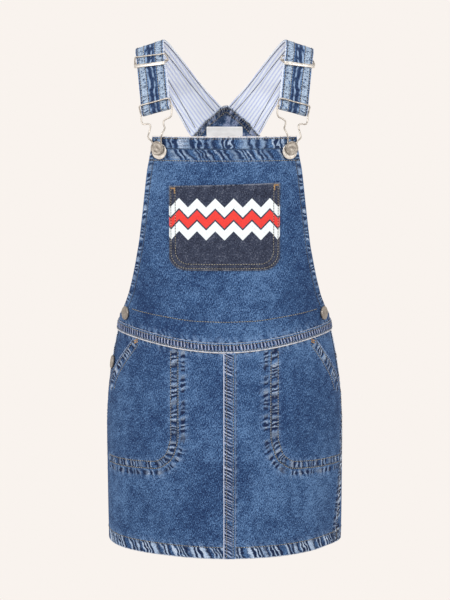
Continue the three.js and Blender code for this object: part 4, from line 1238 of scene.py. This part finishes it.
def strap_face(grid, offset):
    places, normals, _, _, settled = grid
    x, z = places[..., 0], places[..., 2]
    on_back = on_form(180 - np.sign(x) * angle_at(np.abs(x), z), z, offset)
    share = settled[..., None]
    return (places + normals * np.asarray(offset)[..., None]) * (1 - share) + on_back * share




STRAP_PALE = colour(176, 194, 214)


def strap_finish(paint, base, u, v, ragged, grain):
    """The sewn bands along both edges are rubbed pale. Between them the layers part into a channel, painted dark as the
    shade that falls in it, with ridges that wander down it."""
    far = abs(u)
    mottled = paint.smooth(paint.noise(paint.point(u * 260, v * 300, 4.0), 1.0, 2.0), 0.34, 0.52)
    bands = paint.smooth(far, 7.4 * MM, 8.2 * MM) * paint.smooth(far, 15.6 * MM, 14.8 * MM)
    base = paint.mix(bands * mottled * (0.45 + grain * 0.55), base, STRAP_PALE)
    # painted shade down the middle of the strap, in the channel between the layers
    channel_shade = paint.smooth(far, 6.0 * MM, 4.6 * MM)
    base = paint.mix(channel_shade * (1 - mottled * 0.3) * 0.95, base, BLUE_DEEP_DYE_AND_SHADE)
    sway = paint.noise(paint.point(0.0, v * 45, 8.0), 1.0, 2.0) * (12 * MM) - 6 * MM
    faint = paint.smooth(paint.noise(paint.point(u * 90, v * 110, 6.0), 1.0, 2.0), 0.36, 0.56)
    for place, width in ((-1.6, 1.2), (5.2, 1.5)):
        off = abs(u - sway - place * MM) + (ragged - 0.5) * (1.2 * MM)
        base = paint.mix(paint.smooth(off, width * 1.3 * MM, width * 0.3 * MM) * faint * 0.75, base, BLUE_PALE)
    return base


strap_blue = denim("denim_strap", worn=0.5, pale=0.6, deep=0.8, finish=strap_finish)
lining_paint = Paint("striped_lining", roughness=0.85, specular_ior_level=0.2)
_, lining_u, lining_v = lining_paint.uv("cut")
wander = lining_paint.noise(lining_paint.point(lining_u * 60, lining_v * 25, 1.0), 1.0, 2.0)
STRIPE = 4.3 * MM
stripe = lining_paint.sine((lining_u + wander * (0.8 * MM)) * (2 * math.pi / STRIPE))
hairline = lining_paint.sine((lining_u + wander * (0.8 * MM)) * (6 * math.pi / STRIPE))
cotton = lining_paint.noise(lining_paint.point(lining_u * 1500, lining_v * 600, 3.0), 1.0, 2.0, 0.6)
LINING_WHITE = colour(240, 246, 255)
LINING_BLUE = colour(182, 194, 240)
lining_mask = lining_paint.smooth(stripe * 0.75 + hairline * 0.25 + cotton - 0.5, -0.1, 0.7)
lining_paint.out(
    Base_Color=lining_paint.mix(lining_mask * (0.5 + cotton * 0.3), LINING_WHITE, LINING_BLUE),
    Normal=lining_paint.bump(cotton, 0.0002),
)
STRAP_ROWS = (2.0, 10.8)  # how far the rows of stitches lie from each edge
across_strap = steps(36, 1.8, [(0, 2, 0.7), (34, 36, 0.7)])
over_shoulder = 8 * (len(STRAP_PATH) - 1)  # as far as the lining shows, in stations
slate_thread = thread("thread_slate", colour(120, 126, 150))
straps = {}
for hand, side in (("left", -1), ("right", 1)):
    grid = strap_grid(side, across_strap)
    places, normals, far, width, settled = grid
    u = width[:, None] * (across_strap - 0.5)
    v = np.repeat(far[:, None], len(across_strap), axis=1)
    bands = [
        (np.stack([way * (width / 2 - 6.4), far], -1)[::3], 4.2, 0.2 * way, 5.5, 0, 1) for way in (-1, 1)
    ]
    along, aside, paleness = seam_places(bands, u, v)
    to_edge = np.minimum(u - u[:, :1], u[:, -1:] - u) * 4
    layers = {
        "cut": np.stack([u, v], -1) * MM, "seam": np.stack([along, aside], -1) * MM,
        "edge": np.stack([to_edge * MM, paleness], -1),
    }
    relief = roped(0.3)({"along": along, "side": aside}) * (1 - settled)
    shape = v.shape
    outer_face = strap_face(grid, np.full(shape, STRAP_THICKNESS) + np.clip(relief, -0.2, 0.5))
    strap = shell(f"strap_{hand}_cloth", outer_face, strap_face(grid, np.full(shape, LINING + GAP)), layers, strap_blue)
    lining_face = strap_face(grid, np.zeros(shape))
    lining = shell(f"strap_lining_{hand}_cloth", lining_face, strap_face(grid, np.full(shape, LINING)), layers,
                   lining_paint.material)
    straps[hand] = strap
    for piece, face, node, slot, under in (
        (strap, outer_face, "strap", "denim", f"slider_{hand}"), (lining, lining_face, "strap_lining", "lining", strap.name),
    ):
        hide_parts(f"{node}_{hand}")
        cloth_area(face)
    rows, lining_rows = [], []
    for way in (-1, 1):
        for inset in STRAP_ROWS:
            share = 0.5 + way * (0.5 - inset / width)
            column = np.arange(len(across_strap))
            at = np.array([np.interp(s, across_strap, column) for s in share])
            low = np.clip(at.astype(int), 0, len(column) - 2)
            mix = (at - low)[:, None]
            line = outer_face[np.arange(len(far)), low] * (1 - mix) + outer_face[np.arange(len(far)), low + 1] * mix
            rows.append((line[8:], normals[8:, 0]))
            line = lining_face[np.arange(len(far)), low] * (1 - mix) + lining_face[np.arange(len(far)), low + 1] * mix
            lining_rows.append((line[8:over_shoulder], -normals[8:over_shoulder, 0]))
    stitches(f"strap_stitching_{hand}", strap, rows, tan_thread)
    stitches(f"lining_stitching_{hand}", lining, lining_rows, slate_thread)

# The slide adjusters, the bib hooks and the buttons. Satin nickel steel: bent wire with a flat bar on each
# adjuster, wire with a pressed keyhole plate on each hook, and tack buttons with a rolled rim.


def nickel(name, rough, bright, dull):
    paint = Paint(name, metallic=0.85)
    place = paint.node("TexCoord", None, None, "Object")
    scratches = paint.noise(paint.node("Mapping", None, {"Vector": place, "Scale": (900, 900, 2600)}), 1.0, 3.0, 0.7)
    smudges = paint.noise(place, 260.0, 3.0, 0.6)
    tone = scratches * 0.4 + smudges * 0.6
    return paint.out(Base_Color=paint.mix(paint.smooth(tone, 0.3, 0.65), dull, bright),
                     Roughness=smudges * 0.25 + rough, Normal=paint.bump(scratches, 0.00004))


wire_nickel = nickel("nickel_wire", 0.22, colour(206, 198, 188), colour(138, 130, 122))
# painted highlight: the bars and the hook plates are the same nickel as the wire, painted much lighter for the bright
# light they catch
highlit_nickel = nickel("nickel_bar_highlit", 0.25, colour(238, 232, 224), colour(196, 188, 178))
cap_nickel = nickel("nickel_cap", 0.35, colour(176, 168, 158), colour(118, 110, 102))
SLIDER_BELOW = 8.5
SLIDER_TURN = 9
SLIDER_HALF = 6.2
SLIDER_WIRE = 0.9
RAIL_BEHIND = 1.2
BAR_HEIGHT = 4.4
BAR_DEPTH = 2.2
BAR_PAST = 2.4
# past the strap's edge, down, level it belongs to, share of the way back to the post
SLIDER_END = [
    (-4, -6.2, "rail", 0), (1.4, -6.2, "rail", 0), (3, -4.6, "rail", 0.3), (4.2, -1.6, "rail", 0.8),
    (4.6, 0, "rail", 1), (4.2, 1.6, "bar", 0.8), (2.4, 4.6, "bar", 0.3), (0.9, 6.2, "bar", 0), (-4, 6.2, "bar", 0),
]
HOOK_WIRE_RADIUS = 0.95
# across the strap, down from the hook's bar, out from it: first on the strap, then below the bar
HOOK_ON_STRAP = [(0, -8.5, 5.1), (17.5, -8.5, 5.1), (19.8, -7.6, 4.6), (20.5, -4, 1.8)]
HOOK_WIRE = [(20.5, 1, 0), (19.9, 10.5, 0), (18, 13.4, 0), (12, 14.6, 0), (9, 16.6, 0), (8.9, 20.5, 0.6),
             (10.4, 25.5, 1.2)]
# the same at the plate: across, up from the button, out
HOOK_NECK = [(9.6, 15.5, 0.9), (7, 11, 0.5), (5.6, 6.5, 0), (5.4, 2, 0)]
PLATE_RADIUS = 9.8
PLATE_DROP = 4
PLATE_SLOT = 4.3
PLATE_SEAT = 0.5
PLATE_THICKNESS = 1.6
PLATE_HEIGHT = 3
BIB_BUTTON_X = 79
BIB_BUTTON_Z = -128


def swept(points, radius, sides=12, each=6):
    """A round wire through points, with domed ends, as points and faces."""
    line, ways = curve_through(points, each)
    side = unit(np.cross(ways[0], [0.3, 0.5, 0.8]))
    rings = []
    for place, way in zip(line, ways):
        side = unit(side - way * (side @ way))
        other = np.cross(way, side)
        turn = np.linspace(0, 2 * math.pi, sides, endpoint=False)[:, None]
        rings.append(place + radius * (side * np.cos(turn) + other * np.sin(turn)))
    for end, way in ((0, -ways[0]), (-1, ways[-1])):
        cap = line[end] + (rings[end] - line[end]) * 0.55 + way * radius * 0.55
        rings.insert(0 if end == 0 else len(rings), cap)
    return tube_faces(np.array(rings))


def tube_faces(rings):
    """A closed tube through rings of points, with flat ends."""
    count, sides = rings.shape[:2]
    ids = np.arange(count * sides).reshape(count, sides)
    nxt = np.roll(ids, -1, axis=1)
    walls = np.stack([ids[:-1], nxt[:-1], nxt[1:], ids[1:]], -1).reshape(-1, 4)
    fan = [(0, k, k + 1) for k in range(1, sides - 1)]
    ends = np.array([ids[0][list(f)][::-1] for f in fan] + [ids[-1][list(f)] for f in fan])
    return rings.reshape(-1, 3), [walls, ends]


def metal_piece(name, parts, material, *nodes):
    """One object of several closed parts of metal."""
    points = np.concatenate([p for p, _ in parts])
    starts = np.cumsum([0] + [len(p) for p, _ in parts[:-1]])
    groups = {}
    for (_, faces), start in zip(parts, starts):
        for group in faces:
            groups.setdefault(group.shape[1], []).append(group + start)
    piece = finished(name, points, [np.concatenate(g) for g in groups.values()], {}, material)
    if nodes:
        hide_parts(*nodes)
    return piece


def place_in(seat, across, down, out):
    return seat["origin"] + seat["across"] * across + seat["down"] * down + seat["out"] * out


def rounded_bar(seat, centre_down, centre_out, length, height, depth, corner=0.7):
    """A flat bar with rounded edges, across a strap."""
    turn = np.radians(np.arange(0, 360, 15) + 7.5)
    down = np.sign(np.sin(turn)) * (height / 2 - corner) + corner * np.sin(turn)
    out = np.sign(np.cos(turn)) * (depth / 2 - corner) + corner * np.cos(turn)
    rings = []
    for x, size in ((-length / 2, 0.8), (-length / 2 + 0.5, 1), (length / 2 - 0.5, 1), (length / 2, 0.8)):
        rings.append([place_in(seat, x, centre_down + d * size, centre_out + o * size) for d, o in zip(down, out)])
    return tube_faces(np.array(rings))


def button_seat(side, across):
    """Where a bib button stands: its foot on the cloth, out from it, across its hook and down."""
    angle = side * angle_at(BIB_BUTTON_X, BIB_BUTTON_Z)
    out = form_normal(angle, BIB_BUTTON_Z)
    level = unit(across - out * (across @ out))
    return {"origin": form(angle, BIB_BUTTON_Z) + out * (DENIM + GAP), "across": level,
            "down": np.cross(level, out) * side, "out": out}


def keyhole_plate(seat):
    """The pressed plate of a hook: a horseshoe with rounded edges, open upwards, that seats on the button."""
    mouth = math.sqrt(PLATE_RADIUS**2 - PLATE_SLOT**2)
    start = math.atan2(mouth, PLATE_SLOT)
    outside = [(PLATE_RADIUS * math.cos(a), PLATE_RADIUS * math.sin(a))
               for a in np.linspace(start, math.atan2(mouth, -PLATE_SLOT) - 2 * math.pi, 44)]
    slot_turn = np.linspace(math.pi, 2 * math.pi, 20)
    slot = [(PLATE_SLOT * math.cos(a), PLATE_DROP + PLATE_SEAT + PLATE_SLOT * math.sin(a)) for a in slot_turn]
    inside = [(-PLATE_SLOT, y) for y in np.linspace(mouth, PLATE_DROP + PLATE_SEAT, 12)] + slot
    inside += [(PLATE_SLOT, y) for y in np.linspace(PLATE_DROP + PLATE_SEAT, mouth, 12)]
    outer_line = resample(np.array(outside[::-1]), 1.0)
    inner_line = np.array(inside)
    inner_line = resample(inner_line, 0.5)
    share = np.linspace(0, 1, 48)
    pick = [np.stack([np.interp(share, np.linspace(0, 1, len(p)), p[:, k]) for k in (0, 1)], -1)
            for p in (outer_line, inner_line)]
    outer_points, inner_points = pick
    middle = (outer_points + inner_points) / 2
    half = (outer_points - inner_points) / 2
    turn = np.radians(np.arange(0, 360, 30))
    rings = []
    for m, h in zip(middle, half):
        ring_points = []
        for t in turn:
            wide = np.sign(math.cos(t)) * abs(math.cos(t)) ** 0.35
            thick = np.sign(math.sin(t)) * abs(math.sin(t)) ** 0.6
            x, up = m + h * wide
            ring_points.append(place_in(seat, -x, PLATE_DROP - up, PLATE_HEIGHT + thick * PLATE_THICKNESS / 2))
        rings.append(ring_points)
    return tube_faces(np.array(rings))


def turned(profile, seat, around=48):
    """A turned piece of metal from (radius, height) rows, which starts and ends on its axis."""
    turn = np.linspace(0, 2 * math.pi, around, endpoint=False)
    rings = [[place_in(seat, r * math.cos(t), r * math.sin(t), h) for t in turn] for r, h in profile]
    return tube_faces(np.array(rings))


BUTTON_RADIUS = 8.5
BUTTON_THICK = 2.8


def button_cap(base):
    """The profile of a tack button's cap: a rolled rim, a groove, and a low dome in the middle."""
    r, t = BUTTON_RADIUS, BUTTON_THICK
    rows = [(r - 0.9, 0), (r - 0.3, 0.3), (r, 0.9), (r, t - 0.9), (r - 0.25, t - 0.3), (r - 0.8, t), (r - 1.3, t - 0.08),
            (r - 1.8, t - 0.5), (r - 2.3, t - 0.62), (r - 3.4, t - 0.5), (r - 5, t - 0.36), (1.6, t - 0.32),
            (1.2, t - 0.5), (0.02, t - 0.55)]
    return [(radius, base + height) for radius, height in rows]


for hand, side in (("left", -1), ("right", 1)):
    s = strap_stations(side)
    edge, normal, run = s["edge"][-1], s["normal"][-1], s["run"]
    reach = s["width"][-1] / 2
    # it hangs turned a little in the plane of the strap, so its bar is nearer level
    tilt = side * math.radians(SLIDER_TURN)
    seat = {"origin": s["top"] + run * SLIDER_BELOW, "out": normal,
            "across": edge * math.cos(tilt) + np.cross(normal, edge) * math.sin(tilt),
            "down": run * math.cos(tilt) + np.cross(normal, run) * math.sin(tilt)}
    bar_out = STRAP_THICKNESS + GAP + BAR_DEPTH / 2
    out_at = {"rail": STRAP_THICKNESS + GAP + SLIDER_WIRE if side < 0 else -BAR_IN - RAIL_BEHIND, "bar": bar_out}

    def end_wire(way):
        return [place_in(seat, way * (reach + past), down, out_at[level] * (1 - share) - BAR_IN * share)
                for past, down, level, share in SLIDER_END]

    post = reach + max(row[0] for row in SLIDER_END)
    metal_piece(f"slider_{hand}_metal", [
        swept([*end_wire(-1)[::-1], *end_wire(1)], SLIDER_WIRE),
        swept([place_in(seat, x, 0, -BAR_IN) for x in (-post, 0, post)], POST_RADIUS),
    ], wire_nickel, f"slider_{hand}")
    metal_piece(f"slider_bar_{hand}_metal", [
        rounded_bar(seat, SLIDER_HALF, bar_out, 2 * (reach + BAR_PAST), BAR_HEIGHT, BAR_DEPTH),
    ], highlit_nickel)

    origin = s["point"][-1] - normal * BAR_IN
    button = button_seat(side, edge)
    down = unit(place_in(button, 0, 0, PLATE_HEIGHT) - origin)
    on_strap = {"origin": origin, "across": edge, "down": s["along"][-1], "out": normal}
    below = {"origin": origin, "across": edge, "down": down, "out": np.cross(down, edge) * side}

    def half_hook(way):
        rows = [place_in(on_strap, way * a, d, o) for a, d, o in HOOK_ON_STRAP]
        rows += [place_in(below, way * a, d, o) for a, d, o in HOOK_WIRE]
        return rows + [place_in(button, way * a, -up, PLATE_HEIGHT + o) for a, up, o in HOOK_NECK]

    bar = HOOK_WIRE[0][0]
    metal_piece(f"hook_{hand}_metal", [
        swept([*half_hook(-1)[::-1], *half_hook(1)[1:]], HOOK_WIRE_RADIUS),
        swept([place_in(below, x, 0, 0) for x in (-bar, 0, bar)], POST_RADIUS),
    ], wire_nickel, f"hook_{hand}")
    metal_piece(f"hook_plate_{hand}_metal", [keyhole_plate(button)], highlit_nickel)

    stem = [(0.02, 0), (5, 0), (5, 0.8), (3.5, 1.0), (3.5, 5)]
    metal_piece(f"bib_button_{hand}_metal", [turned([*stem, *button_cap(5)], button_seat(side, np.array([side, 0, 0])))],
                cap_nickel, f"bib_button_{hand}")
# the side buttons: which one, degrees round the ring, level, cloth that it stands on
for place, angle, z, on_cloth in (
    ("upper_left", -68.5, -338, DENIM), ("upper_right", 69, -338, DENIM),
    ("lower_left", -83, -405, -GAP), ("lower_right", 104, -403, DENIM),
):
    out = form_normal(angle, z)
    level_way = unit(np.cross([0, 0, 1], out))
    seat = {"origin": form(angle, z) + out * (on_cloth + GAP), "across": level_way,
            "down": np.cross(out, level_way), "out": out}
    metal_piece(f"side_button_{place}_metal", [turned([(0.02, 0), *button_cap(0)], seat)],
                cap_nickel, f"side_button_{place}")

# The floor and the light. A pale cream floor that sweeps up behind the dress, a big soft light from the front
# and above on each side, and an even pale surround.
FLOOR = -1.03
cream = Paint("backdrop", roughness=1.0, specular_ior_level=0.0, base_color=(0, 0, 0, 1),
              emission_color=(*colour(249, 243, 238), 1), emission_strength=1.0)
sweep = [(4 * math.sin(t), 4 - 4 * math.cos(t)) for t in np.linspace(0, math.pi / 2, 24)]
profile_points = [(-9.0, 0.0), *[(1.5 + y, z) for y, z in sweep], (5.5, 9.0)]
grid_points = np.array([[(x, y, z + FLOOR) for x in (-14, 14)] for y, z in profile_points]).reshape(-1, 3)
grid_faces = np.array([(2 * k, 2 * k + 1, 2 * k + 3, 2 * k + 2) for k in range(len(profile_points) - 1)])
backdrop_mesh = bpy.data.meshes.new("backdrop")
backdrop_mesh.from_pydata([tuple(p) for p in grid_points], [], [tuple(int(i) for i in f) for f in grid_faces])
backdrop_mesh.shade_smooth()
backdrop_mesh.materials.append(cream.material)
backdrop = bpy.data.objects.new("backdrop", backdrop_mesh)
bpy.context.scene.collection.objects.link(backdrop)

# light: place, size, watts
LIGHTS = {
    "light_left": ((-2.0, -2.4, 1.3), 1.6, 66),
    "light_right": ((2.2, -2.0, 0.9), 1.8, 40),
    "light_top": ((0.2, -0.4, 2.6), 2.0, 30),
}
for name, (place, size, watts) in LIGHTS.items():
    lamp = bpy.data.lights.new(name, "AREA")
    lamp.size, lamp.energy = size, watts
    lamp_object = bpy.data.objects.new(name, lamp)
    lamp_object.location = place
    lamp_object.rotation_euler = (Vector((0, 0, -0.3)) - Vector(place)).to_track_quat("-Z", "Y").to_euler()
    bpy.context.scene.collection.objects.link(lamp_object)
world = bpy.data.worlds.new("surround")
world.use_nodes = True
world.node_tree.nodes["Background"].inputs["Color"].default_value = (1.0, 0.985, 0.97, 1)
world.node_tree.nodes["Background"].inputs["Strength"].default_value = 0.5
bpy.context.scene.world = world
